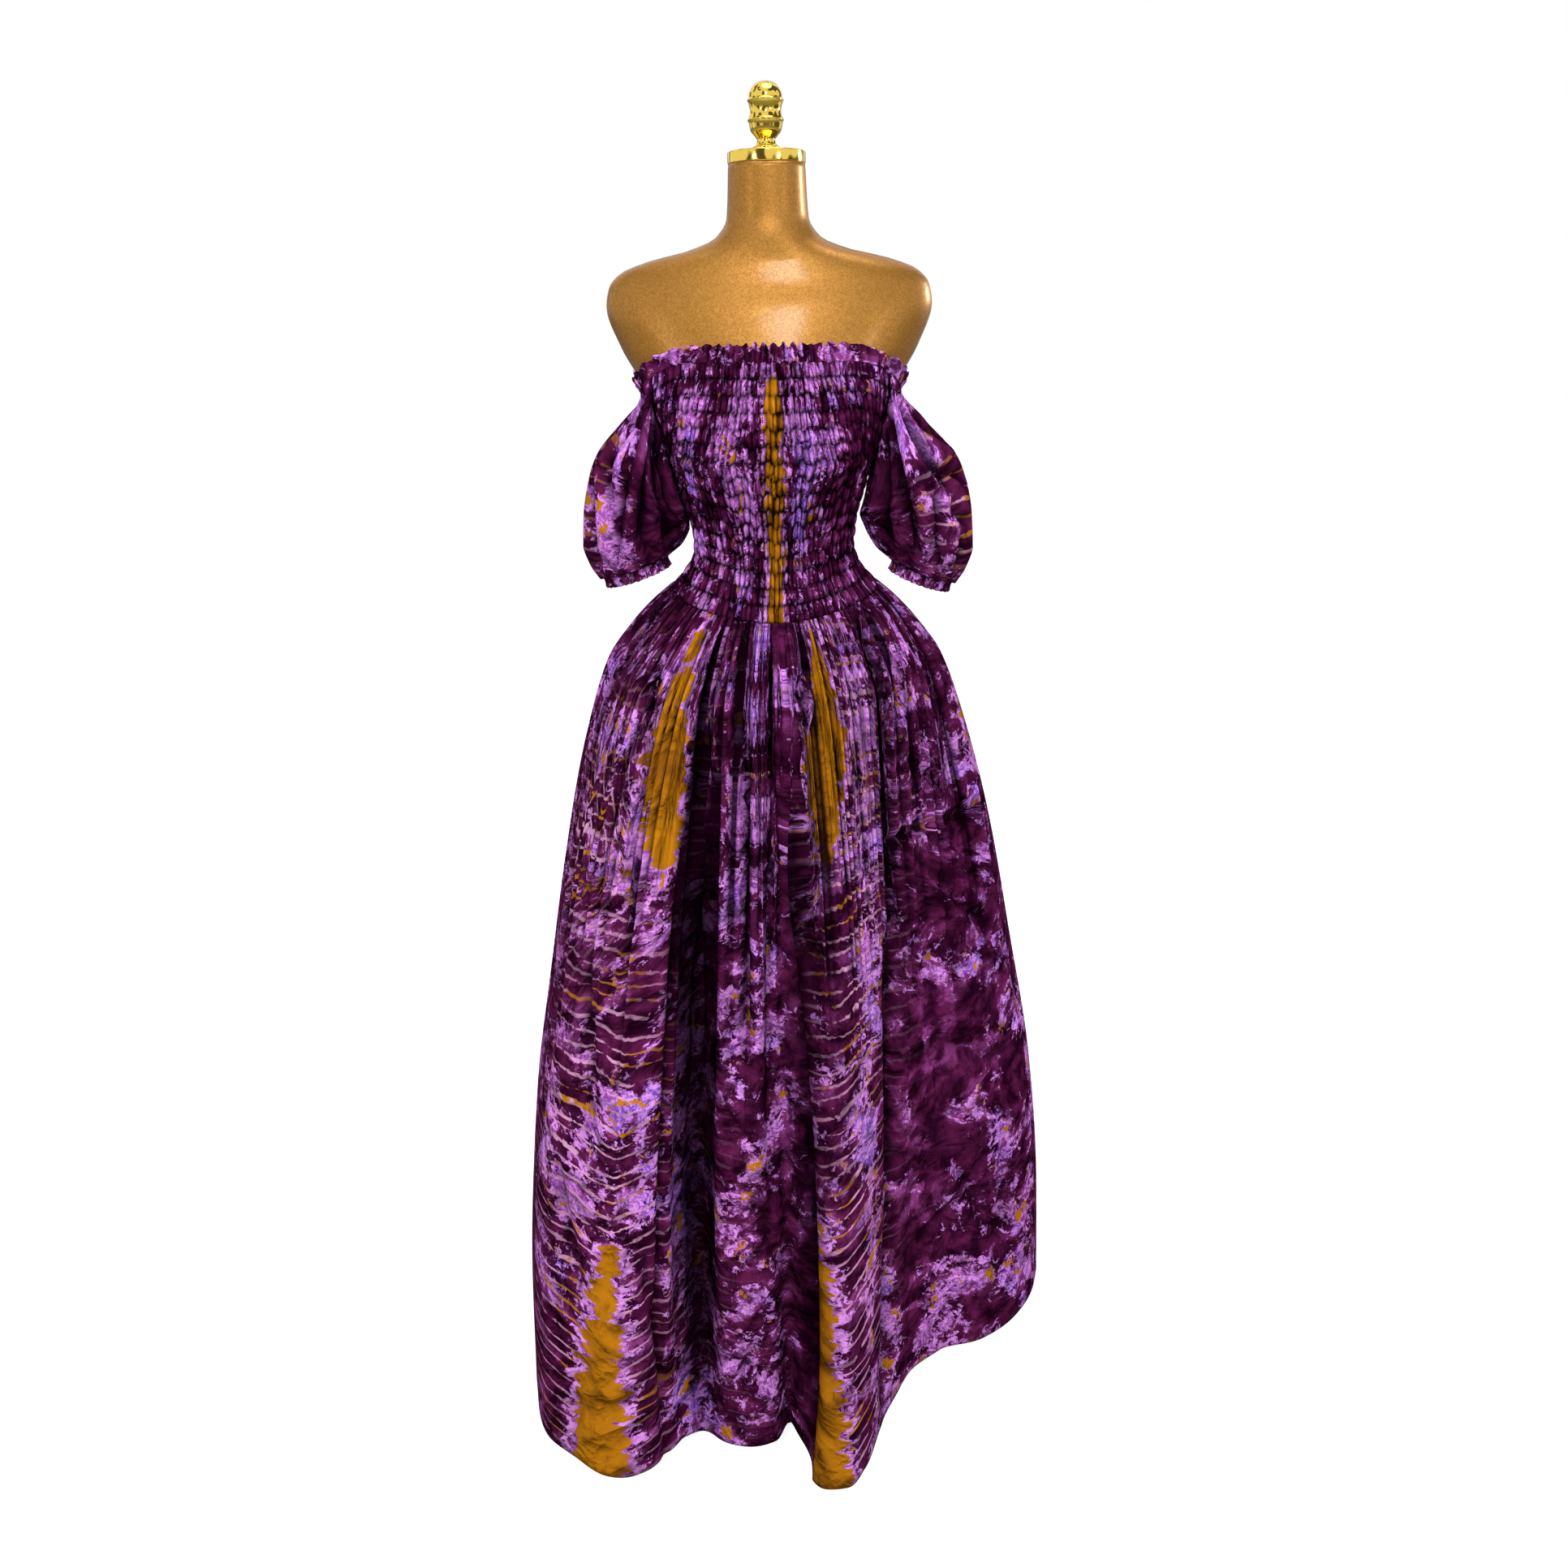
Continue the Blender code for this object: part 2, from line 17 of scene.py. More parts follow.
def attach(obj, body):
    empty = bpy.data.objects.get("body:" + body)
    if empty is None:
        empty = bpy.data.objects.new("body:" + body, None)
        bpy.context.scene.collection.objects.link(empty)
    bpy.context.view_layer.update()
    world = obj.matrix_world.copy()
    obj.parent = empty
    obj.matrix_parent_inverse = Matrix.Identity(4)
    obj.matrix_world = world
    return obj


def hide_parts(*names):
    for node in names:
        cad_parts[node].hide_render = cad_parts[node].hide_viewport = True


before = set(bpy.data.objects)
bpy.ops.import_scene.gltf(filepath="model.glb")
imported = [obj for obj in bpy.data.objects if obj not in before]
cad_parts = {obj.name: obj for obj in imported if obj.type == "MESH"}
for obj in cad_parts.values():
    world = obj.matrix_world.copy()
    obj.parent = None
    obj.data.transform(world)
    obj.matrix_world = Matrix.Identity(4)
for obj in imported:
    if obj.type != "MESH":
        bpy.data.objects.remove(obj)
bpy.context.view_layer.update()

log = logging.getLogger("maxi_dress")

BODY = "root"

# Walls and gaps shared by the pieces, as the solids have them
GAP = 0.0003
BODICE_WALL = 0.0019
SLEEVE_WALL = 0.0015
SKIRT_WALL = 0.0018
RIB_RELIEF = 0.0030
SHIRRED_RELIEF = 0.0009
SEAM_SHARE = 0.0002
SKIRT_HALF_ANGLE = math.pi / 2 * (1 - SEAM_SHARE)

# Node types and settings that the finishes share
Socket = bpy.types.NodeSocket
MATH = "ShaderNodeMath"
VECTOR = "ShaderNodeVectorMath"
MIX = "ShaderNodeMix"
NOISE = "ShaderNodeTexNoise"
RANGE = "ShaderNodeMapRange"
BLEND = {"output": 2, "data_type": "RGBA"}
SMOOTH = {"interpolation_type": "SMOOTHSTEP"}


class Side(Enum):
    """The dress's left and right arm openings, as seen from the front."""

    LEFT = "left"
    RIGHT = "right"


class Face(Enum):
    """Which half of the body a panel covers, with the angle that it is turned by."""

    FRONT = 0.0
    BACK = math.pi


class Slot(Enum):
    """The material slots that the record names."""

    COTTON = "dyed_cotton"
    PAINT = "gold_paint"
    PLATE = "gold_plate"


def linear(colour: str) -> tuple[float, float, float, float]:
    """Turns an sRGB hex colour into linear red, green, blue and alpha.

    Args:
        colour: six hex digits after a hash.

    Returns:
        Linear values from 0 to 1, with alpha 1.
    """
    parts = [int(colour[i : i + 2], 16) / 255 for i in (1, 3, 5)]
    turned = [p / 12.92 if p <= 0.04045 else ((p + 0.055) / 1.055) ** 2.4 for p in parts]
    return (*turned, 1.0)


def smooth_curve(at: np.ndarray, knots: np.ndarray, values: np.ndarray) -> np.ndarray:
    """Reads a smooth curve through knots that never overshoots them.

    Formula: between two knots, a cubic with the harmonic mean of the neighbouring slopes at each knot, or a
    level tangent where the curve turns.

    Args:
        at: where to read the curve.
        knots: rising positions.
        values: the value at each knot.

    Returns:
        The curve's values.
    """
    knots = np.asarray(knots, float)
    values = np.asarray(values, float)
    step = np.diff(knots)
    rise = np.diff(values) / step
    slope = np.concatenate([rise[:1], np.zeros(len(rise) - 1), rise[-1:]])
    before, after = rise[:-1], rise[1:]
    steady = before * after > 0
    slope[1:-1][steady] = (2 * before * after)[steady] / (before + after)[steady]
    index = np.clip(np.searchsorted(knots, at, side="right") - 1, 0, len(step) - 1)
    share = np.clip((at - knots[index]) / step[index], 0, 1)
    width = step[index]
    start = values[index] * (1 + 2 * share) + width * slope[index] * share
    end = values[index + 1] * (3 - 2 * share) - width * slope[index + 1] * (1 - share)
    return start * (1 - share) ** 2 + end * share**2


def ease_in_out(share: np.ndarray) -> np.ndarray:
    """Goes from 0 to 1 with level ends: three times the square less twice the cube."""
    share = np.clip(share, 0, 1)
    return share * share * (3 - 2 * share)


def around(radius: np.ndarray, angle: np.ndarray, height: np.ndarray) -> np.ndarray:
    """Points at a radius and an angle from the front, with x, y and z on the last axis."""
    radius, angle, height = np.broadcast_arrays(radius, angle, height)
    return np.stack([radius * np.sin(angle), -radius * np.cos(angle), height], axis=-1)


def wobble(along: np.ndarray, seed: int, waves: int) -> np.ndarray:
    """An uneven curve between about -1 and 1, without a step anywhere.

    Formula: half the sum of four sines of whole numbers of waves, with seeded phases.

    Args:
        along: position in turns.
        seed: which curve.
        waves: the least number of waves in one turn.

    Returns:
        The curve's values.
    """
    phases = np.random.default_rng(seed).uniform(0, math.tau, 4)
    total = sum(np.sin(math.tau * along * (waves + 2 * n + n * n) + phases[n]) for n in range(4))
    return total / 2


def scattered(number: np.ndarray, seed: int) -> np.ndarray:
    """A steady random value between -1 and 1 for each whole number."""
    values = np.random.default_rng(seed).uniform(-1, 1, 499)
    return values[np.floor(number).astype(int) % len(values)]


def distance_along(points: np.ndarray) -> np.ndarray:
    """How far along a line of points each one is, from 0 at the first."""
    return np.concatenate([[0], np.cumsum(np.linalg.norm(np.diff(points, axis=0), axis=1))])


def unrolled(columns: int, width: float, along: np.ndarray) -> np.ndarray:
    """Flat coordinates of a ring of cloth cut open, with a last column that lies on the first when worn."""
    across = np.arange(columns + 1) / columns * width
    return np.stack(np.broadcast_arrays(across, along), axis=-1)


@dataclass
class Surface:
    """A grid of points with the cloth's own flat coordinates and the marks that the dye and the painted shade
    read.

    Attributes:
        points: rows, columns, xyz.
        flat: rows, columns (one more if it closes), metres across and along the flat cloth.
        closed: whether the last column joins the first.
        marks: named values at every point.
    """

    points: np.ndarray
    flat: np.ndarray | None = None
    closed: bool = False
    marks: dict[str, np.ndarray] | None = None

    def corners(self) -> tuple[np.ndarray, np.ndarray]:
        """Corner indices of every quad, into the points and into the flat coordinates.

        Returns:
            Two arrays with a row of four indices for each quad.
        """
        rows, columns = self.points.shape[:2]
        last = columns if self.closed else columns - 1
        row, column = np.meshgrid(np.arange(rows - 1), np.arange(last), indexing="ij")
        wide = columns + 1 if self.closed else columns
        found = []
        for width, beside in ((columns, (column + 1) % columns), (wide, column + 1)):
            here = [row * width + column, row * width + beside]
            here += [(row + 1) * width + beside, (row + 1) * width + column]
            found.append(np.stack(here, axis=-1).reshape(-1, 4))
        return found[0], found[1]

    def normals(self) -> np.ndarray:
        """Outward unit normals.

        Formula: the cross product of the steps across and along the grid, over its own length.

        Returns:
            A vector for every point.
        """
        across = np.gradient(self.points, axis=1)
        if self.closed:
            across = (np.roll(self.points, -1, axis=1) - np.roll(self.points, 1, axis=1)) / 2
        normal = np.cross(across, np.gradient(self.points, axis=0))
        return normal / np.maximum(np.linalg.norm(normal, axis=-1, keepdims=True), 1e-12)

    def mesh(self, name: str) -> bpy.types.Mesh:
        """Makes the mesh, with its UV map in metres and its marks as attributes.

        Args:
            name: the mesh's name.

        Returns:
            The mesh, shaded smooth.
        """
        faces, places = self.corners()
        mesh = bpy.data.meshes.new(name)
        mesh.from_pydata(self.points.reshape(-1, 3).tolist(), [], faces.tolist())
        if self.flat is not None:
            layer = mesh.uv_layers.new(name="flat")
            spots = self.flat.reshape(-1, 2)[places.reshape(-1)]
            layer.data.foreach_set("uv", spots.astype(np.float32).reshape(-1))
        for mark, values in (self.marks or {}).items():
            attribute = mesh.attributes.new(mark, "FLOAT", "POINT")
            spread = np.broadcast_to(values, self.points.shape[:2])
            attribute.data.foreach_set("value", spread.astype(np.float32).reshape(-1))
        mesh.shade_smooth()
        return mesh


def add_piece(name: str, mesh: bpy.types.Mesh, look: bpy.types.Material, slot: Slot) -> bpy.types.Object:
    """Puts a mesh into the scene as a piece that rides on the part's one body.

    Args:
        name: the piece's name.
        mesh: its mesh, with its place in the vertices.
        look: its material.
        slot: the record's slot that the finish belongs to; not used.

    Returns:
        The new object.
    """
    piece = bpy.data.objects.new(name, mesh)
    mesh.materials.append(look)
    bpy.context.scene.collection.objects.link(piece)
    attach(piece, BODY)
    log.info("%s: %d faces", name, len(mesh.polygons))
    return piece


def add_cloth(
    node: str, surface: Surface, look: bpy.types.Material, wall: float, cut: tuple[float, float]
) -> None:
    """Puts a cloth in its solid's place and gives it its thickness inwards.

    Args:
        node: the solid that the cloth stands for.
        surface: the cloth's outer face.
        look: its material.
        wall: its thickness in metres.
        cut: its width and length when flat, in metres; not used.
    """
    name = f"{node}_cloth"
    piece = add_piece(name, surface.mesh(name), look, Slot.COTTON)
    solid = piece.modifiers.new("wall", "SOLIDIFY")
    solid.thickness = wall
    solid.offset = -1
    solid.use_quality_normals = True
    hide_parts(node)


class Graph:
    """The node tree of a material or of the room, filled from its coordinates to its shader."""

    def __init__(self, owner: bpy.types.Material | bpy.types.World, shader: str = "Principled BSDF") -> None:
        """Starts with only the shader and the output.

        Args:
            owner: the new material or world.
            shader: its shader node's name.
        """
        owner.use_nodes = True
        self.owner = owner
        self.tree = owner.node_tree
        self.shader = self.tree.nodes[shader]

    def add(self, kind: str, inputs: dict | None = None, output: int | str = 0, **settings: object) -> Socket:
        """Adds a node with its settings and links.

        Args:
            kind: the node's type.
            inputs: for each input's name or number, a value or the output that feeds it.
            output: which output to hand back.
            **settings: the node's own properties.

        Returns:
            The chosen output socket.
        """
        made = self.tree.nodes.new(kind)
        for name, value in settings.items():
            setattr(made, name, value)
        for name, value in (inputs or {}).items():
            if isinstance(value, Socket):
                self.tree.links.new(value, made.inputs[name])
            else:
                made.inputs[name].default_value = value
        return made.outputs[output]

    def feed(self, **inputs: object) -> None:
        """Sets or links the shader's sockets.

        Args:
            **inputs: for each socket, with underscores for the spaces in its name, a value or an output.
        """
        for name, value in inputs.items():
            socket = self.shader.inputs[name.replace("_", " ")]
            if isinstance(value, Socket):
                self.tree.links.new(value, socket)
            else:
                socket.default_value = value


@dataclass(frozen=True)
class Grain:
    """A noise pattern in a finish.

    Attributes:
        size: metres across its largest cells.
        detail: how many finer layers lie on them.
        rough: how strong each finer layer is.
        twist: how far the pattern is warped.
    """

    size: float
    detail: float
    rough: float = 0.5
    twist: float = 0.0

    def over(self, place: Socket) -> dict[str, Socket | float]:
        """What the pattern reads, over coordinates in metres."""
        shape = {"Detail": self.detail, "Roughness": self.rough, "Distortion": self.twist}
        return {"Vector": place, "Scale": 1 / self.size} | shape


@dataclass(frozen=True)
class DyeBath:
    """What every layer of the dye reads.

    Attributes:
        graph: the material's tree.
        drift: how far the dye has run at each place.
        place: the cloth's flat coordinates, drifted.
        wide: the same, squashed so that a pattern is drawn out across the cloth.
        broad, fine: noise at the size of the violet clouds, and of their torn edges.
        mark: the cloth's named marks, with its painted shade.
    """

    graph: Graph
    drift: Socket
    place: Socket
    wide: Socket
    broad: Socket
    fine: Socket
    mark: dict[str, Socket]


@dataclass(frozen=True)
class DyedCotton:
    """Polished cotton, plain woven, folded and bound before each dye bath, then beaten smooth.

    It gives a plum ground with torn violet and lilac clouds, thin pale lines where the binding lay, and
    ochre where the first dye was kept. The stiff cloth holds fine sharp crumples, and painted shade darkens
    the folds, the gathers and the large crumples. Its weave of 0.3 mm is too fine to show, and its faint
    gloss is left out because it greys so deep a dye.

    Attributes:
        shade: the painted shade's colour, deep in a fold or a gather and along the large crumples.
        ground_dark, ground, mauve: the last bath, from strong to weak.
        violet, blue_violet, lilac, pink: the middle bath, and the bindings' lines.
        ochre_deep, ochre: the first bath.
        drift: how the dye ran off its lines.
        cloud, tear, crystal, hue: the violet clouds, their edges, their crystals and their changes.
        mottle: the ground's unevenness.
        line_swing, line_break, tint: the lines' bends, their breaks and their ochre stretches.
        tooth, fleck: the ochre marks' teeth, and the ochre flecks.
        ridge, wrinkle: the crumples, large and fine; painted shade lines follow the large ones.
        drift_reach: metres that the dye ran.
        draw_out: how tall the teeth and the lines' bends are, against their width across the cloth.
        line_spacing, upright_spacing: metres between the level lines, and between the upright ones.
        crumple_height: metres.
    """

    shade: str = "#0d0108"
    ground_dark: str = "#26051d"
    ground: str = "#541840"
    mauve: str = "#76326a"
    violet: str = "#8d4797"
    blue_violet: str = "#6f47b4"
    lilac: str = "#cc88d8"
    pink: str = "#c48cb2"
    ochre_deep: str = "#70400f"
    ochre: str = "#a76a10"
    # Size in metres, as one over the cells in a metre, then detail, roughness and twist
    drift: Grain = Grain(1 / 13, 4.0)
    cloud: Grain = Grain(1 / 14, 8.0, 0.66, 0.5)
    tear: Grain = Grain(1 / 72, 6.0, 0.74, 0.8)
    crystal: Grain = Grain(1 / 120, 5.0, 0.7, 2.2)
    hue: Grain = Grain(1 / 6, 3.0)
    mottle: Grain = Grain(1 / 30, 7.0, 0.62, 0.3)
    line_swing: Grain = Grain(1 / 24, 2.0)
    line_break: Grain = Grain(1 / 34, 4.0, 0.6, 0.4)
    tint: Grain = Grain(1 / 11, 4.0, 0.6)
    tooth: Grain = Grain(1 / 62, 3.0)
    fleck: Grain = Grain(1 / 27, 5.0, 0.6)
    ridge: Grain = Grain(1 / 10, 5.0, 0.5, 0.4)
    wrinkle: Grain = Grain(1 / 60, 4.0, 0.6, 0.8)
    drift_reach: float = 0.026
    draw_out: float = 0.13
    line_spacing: float = 0.0205
    upright_spacing: float = 0.0246
    crumple_height: float = 0.014

    def dress(self) -> bpy.types.Material:
        """Builds the material from the cloth's flat coordinates and its marks.

        Returns:
            The finished material.
        """
        graph = Graph(bpy.data.materials.new("dyed_polished_cotton"))
        flat = graph.add("ShaderNodeUVMap", uv_map="flat")
        bath = self.bath(graph, flat)
        torn = self.clouds(bath)
        colour = graph.add(MIX, {0: torn, 6: self.ground_colour(bath), 7: self.violets(bath)}, **BLEND)
        colour = self.ribs(bath, colour)
        colour = self.ochre_marks(bath, colour)
        colour = self.ochre_flecks(bath, colour, torn)
        sharp = self.ridge.over(flat) | {"Offset": 1.0, "Gain": 1.4}
        ridges = graph.add(NOISE, sharp, noise_type="RIDGED_MULTIFRACTAL")
        # Painted shade: thin dark lines along the large crumples, and the marks' shade in folds and gathers
        lines = {"Value": ridges, "From Min": 1.2, "From Max": 1.9, "To Max": 0.44}
        dark = graph.add(RANGE, lines, **SMOOTH)
        dark = graph.add(MATH, {0: bath.mark["shade"], 1: 0.95, 2: dark}, operation="MULTIPLY_ADD")
        dark = graph.add(MATH, {0: dark, 1: 0.97}, operation="MINIMUM")
        colour = graph.add(MIX, {0: dark, 6: colour, 7: linear(self.shade)}, **BLEND)
        wrinkles = graph.add(NOISE, self.wrinkle.over(flat))
        height = graph.add(MATH, {0: wrinkles, 1: 0.10, 2: ridges}, operation="MULTIPLY_ADD")
        relief = {"Height": height, "Strength": 1.0, "Distance": self.crumple_height}
        crumple = graph.add("ShaderNodeBump", relief, output="Normal")
        graph.feed(Base_Color=colour, Roughness=0.50, Specular_IOR_Level=0.0, Normal=crumple)
        return graph.owner

    def bath(self, graph: Graph, flat: Socket) -> DyeBath:
        """Drifts the cloth's coordinates, and makes the noises and marks that the dye's layers and the
        painted shade share.

        Args:
            graph: the material's tree.
            flat: the cloth's flat coordinates.

        Returns:
            What the layers read.
        """
        mark = {
            name: graph.add("ShaderNodeAttribute", output="Fac", attribute_name=name)
            for name in ("ochre_edge", "rib_height", "rib_share", "cloud", "brick", "shade")
        }
        drift = graph.add(NOISE, self.drift.over(flat), output="Color")
        drift = graph.add(VECTOR, {0: drift, 1: (0.5, 0.5, 0.5)}, operation="SUBTRACT")
        drift = graph.add(VECTOR, {0: drift, "Scale": self.drift_reach}, operation="SCALE")
        place = graph.add(VECTOR, {0: flat, 1: drift}, operation="ADD")
        wide = graph.add(VECTOR, {0: place, 1: (self.draw_out, 1.0, 1.0)}, operation="MULTIPLY")
        broad = graph.add(NOISE, self.cloud.over(place))
        fine = graph.add(NOISE, self.tear.over(place))
        return DyeBath(graph, drift, place, wide, broad, fine, mark)

    def ground_colour(self, bath: DyeBath) -> Socket:
        """Mottles the plum ground, with soft mauve patches where the last bath was weaker.

        Args:
            bath: what the dye's layers read.

        Returns:
            The ground's colour.
        """
        add = bath.graph.add
        mottle = add(NOISE, self.mottle.over(bath.place))
        share = add(RANGE, {"Value": mottle, "From Min": 0.36, "From Max": 0.62}, **SMOOTH)
        plum = add(MIX, {0: share, 6: linear(self.ground_dark), 7: linear(self.ground)}, **BLEND)
        soft = add(MATH, {0: mottle, 1: 0.6, 2: bath.broad}, operation="MULTIPLY_ADD")
        share = add(RANGE, {"Value": soft, "From Min": 0.80, "From Max": 0.94}, **SMOOTH)
        return add(MIX, {0: share, 6: plum, 7: linear(self.mauve)}, **BLEND)

    def violets(self, bath: DyeBath) -> Socket:
        """Mixes the clouds' violet, blue violet and lilac, with fine pale crystals.

        Args:
            bath: what the dye's layers read.

        Returns:
            The clouds' colour.
        """
        add = bath.graph.add
        hue = add(NOISE, self.hue.over(bath.place))
        share = add(RANGE, {"Value": hue, "From Min": 0.50, "From Max": 0.62}, **SMOOTH)
        deep = add(MIX, {0: share, 6: linear(self.violet), 7: linear(self.blue_violet)}, **BLEND)
        crystal = add(NOISE, self.crystal.over(bath.place))
        value = add(MATH, {0: bath.fine, 1: 0.8, 2: crystal}, operation="MULTIPLY_ADD")
        share = add(RANGE, {"Value": value, "From Min": 0.84, "From Max": 1.00}, **SMOOTH)
        return add(MIX, {0: share, 6: deep, 7: linear(self.lilac)}, **BLEND)

    def clouds(self, bath: DyeBath) -> Socket:
        """Tears the violet clouds out of two noises, more where the cloud mark is high.

        Args:
            bath: what the dye's layers read.

        Returns:
            How violet each place is, from 0 to 1.
        """
        add = bath.graph.add
        value = add(MATH, {0: bath.fine, 1: 0.70, 2: bath.broad}, operation="MULTIPLY_ADD")
        value = add(MATH, {0: bath.mark["cloud"], 1: 0.17, 2: value}, operation="MULTIPLY_ADD")
        return add(RANGE, {"Value": value, "From Min": 0.895, "From Max": 0.930}, **SMOOTH)

    def ribs(self, bath: DyeBath, colour: Socket) -> Socket:
        """Draws the bindings' pale lines, level or slanting along the marks, and the upright ones.

        The lines are unevenly spaced, thin out and break off, and some stretches are ochre.

        Args:
            bath: what the dye's layers read.
            colour: the cloth's colour so far.

        Returns:
            The colour with its lines.
        """
        add, mark = bath.graph.add, bath.mark
        shift = add("ShaderNodeSeparateXYZ", {0: bath.drift}, output=1)
        across = add("ShaderNodeSeparateXYZ", {0: bath.place})
        rising = add(MATH, {0: mark["rib_height"], 1: shift}, operation="ADD")
        uneven = add(NOISE, self.line_swing.over(bath.wide))
        rising = add(MATH, {0: uneven, 1: 0.034, 2: rising}, operation="MULTIPLY_ADD")
        stretch = add(NOISE, self.tint.over(bath.place))
        share = add(RANGE, {"Value": stretch, "From Min": 0.535, "From Max": 0.575}, **SMOOTH)
        tint = add(MIX, {0: share, 6: linear(self.pink), 7: linear(self.ochre)}, **BLEND)
        broken = add(NOISE, self.line_break.over(bath.place))
        swell = add(MATH, {0: broken, 1: 0.0240, 2: -0.0121}, operation="MULTIPLY_ADD")
        swell = add(MATH, {0: bath.fine, 1: 0.0060, 2: swell}, operation="MULTIPLY_ADD")
        reach = add(MATH, {0: swell, 1: 0.0024}, operation="MINIMUM")
        for value, share, spacing in (
            (rising, mark["rib_share"], self.line_spacing),
            (across, mark["brick"], self.upright_spacing),
        ):
            wrapped = add(MATH, {0: value, 1: spacing, 2: 0.0}, operation="WRAP")
            off = add(MATH, {0: wrapped, 1: spacing / 2}, operation="SUBTRACT")
            off = add(MATH, {0: off}, operation="ABSOLUTE")
            off = add(MATH, {0: off, 1: reach}, operation="SUBTRACT")
            line = add(RANGE, {"Value": off, "From Min": 0.0004, "From Max": -0.0010}, **SMOOTH)
            line = add(MATH, {0: line, 1: share}, operation="MULTIPLY")
            colour = add(MIX, {0: line, 6: colour, 7: tint}, **BLEND)
        return colour

    def ochre_marks(self, bath: DyeBath, colour: Socket) -> Socket:
        """Draws the long ochre marks with ragged teeth, inside a torn lilac edge.

        Args:
            bath: what the dye's layers read.
            colour: the cloth's colour so far.

        Returns:
            The colour with its ochre marks.
        """
        add = bath.graph.add
        teeth = add(NOISE, self.tooth.over(bath.wide))
        teeth = add(MATH, {0: teeth, 1: 0.5}, operation="SUBTRACT")
        edge = add(MATH, {0: teeth, 1: 0.095, 2: bath.mark["ochre_edge"]}, operation="MULTIPLY_ADD")
        torn = add(MATH, {0: bath.fine, 1: 0.5}, operation="SUBTRACT")
        edge = add(MATH, {0: torn, 1: 0.030, 2: edge}, operation="MULTIPLY_ADD")
        halo = add(MATH, {0: torn, 1: 0.085, 2: edge}, operation="MULTIPLY_ADD")
        halo = add(RANGE, {"Value": halo, "From Min": -0.016, "From Max": -0.011}, **SMOOTH)
        share = add(RANGE, {"Value": bath.fine, "From Min": 0.42, "From Max": 0.56}, **SMOOTH)
        pale = add(MIX, {0: share, 6: linear(self.violet), 7: linear(self.lilac)}, **BLEND)
        colour = add(MIX, {0: halo, 6: colour, 7: pale}, **BLEND)
        share = add(RANGE, {"Value": bath.broad, "From Min": 0.28, "From Max": 0.52}, **SMOOTH)
        ochre = add(MIX, {0: share, 6: linear(self.ochre_deep), 7: linear(self.ochre)}, **BLEND)
        inside = add(RANGE, {"Value": edge, "From Min": 0.0, "From Max": 0.0014}, **SMOOTH)
        return add(MIX, {0: inside, 6: colour, 7: ochre}, **BLEND)

    def ochre_flecks(self, bath: DyeBath, colour: Socket, torn: Socket) -> Socket:
        """Leaves small ochre hearts in some of the violet clouds.

        Args:
            bath: what the dye's layers read.
            colour: the cloth's colour so far.
            torn: how violet each place is.

        Returns:
            The colour with its flecks.
        """
        add = bath.graph.add
        speck = add(NOISE, self.fleck.over(bath.place))
        share = add(RANGE, {"Value": speck, "From Min": 0.605, "From Max": 0.622}, **SMOOTH)
        share = add(MATH, {0: share, 1: torn}, operation="MULTIPLY")
        return add(MIX, {0: share, 6: colour, 7: linear(self.ochre)}, **BLEND)


@dataclass(frozen=True)
class GoldPaint:
    """Metallic gold spray paint under clear lacquer, on a moulded form.

    It gives a warm satin gold with fine glitter, and soft broad highlights under a glossier coat. The paint's
    flakes of 0.05 mm are drawn 1.1 mm across, which is as fine as still shows.
    """

    base: str = "#a8762b"
    shade: str = "#8b5d1f"
    flake_size: float = 0.0011
    flake_height: float = 0.0004

    def dress(self) -> bpy.types.Material:
        """Builds the paint from Object coordinates.

        Returns:
            The finished material.
        """
        graph = Graph(bpy.data.materials.new("metallic_gold_paint"))
        place = graph.add("ShaderNodeTexCoord", output="Object")
        cells = {"Vector": place, "Scale": 1 / self.flake_size}
        flakes = graph.add("ShaderNodeTexVoronoi", cells, output="Color")
        flake = graph.add("ShaderNodeSeparateXYZ", {0: flakes})
        tint = graph.add(RANGE, {"Value": flake, "From Min": 0.2, "From Max": 1.0})
        colour = graph.add(MIX, {0: tint, 6: linear(self.shade), 7: linear(self.base)}, **BLEND)
        glitter = graph.add(RANGE, {"Value": flake, "To Min": 0.46, "To Max": 0.36})
        relief = {"Height": flake, "Strength": 0.08, "Distance": self.flake_height}
        bump = graph.add("ShaderNodeBump", relief, output="Normal")
        graph.feed(Base_Color=colour, Roughness=glitter, Metallic=0.66, Normal=bump)
        graph.feed(Coat_Weight=0.14, Coat_Roughness=0.12)
        return graph.owner


@dataclass(frozen=True)
class GoldPlate:
    """Bright yellow gold plating on turned brass: a clean mirror with faint polishing marks."""

    base: str = "#f2cf5c"
    polish: Grain = Grain(0.004, 3.0)

    def dress(self) -> bpy.types.Material:
        """Builds the plating from Object coordinates.

        Returns:
            The finished material.
        """
        graph = Graph(bpy.data.materials.new("polished_gold_plate"))
        place = graph.add("ShaderNodeTexCoord", output="Object")
        marks = graph.add(NOISE, self.polish.over(place))
        rough = graph.add(RANGE, {"Value": marks, "To Min": 0.05, "To Max": 0.14})
        graph.feed(Base_Color=linear(self.base), Metallic=1.0, Roughness=rough)
        return graph.owner


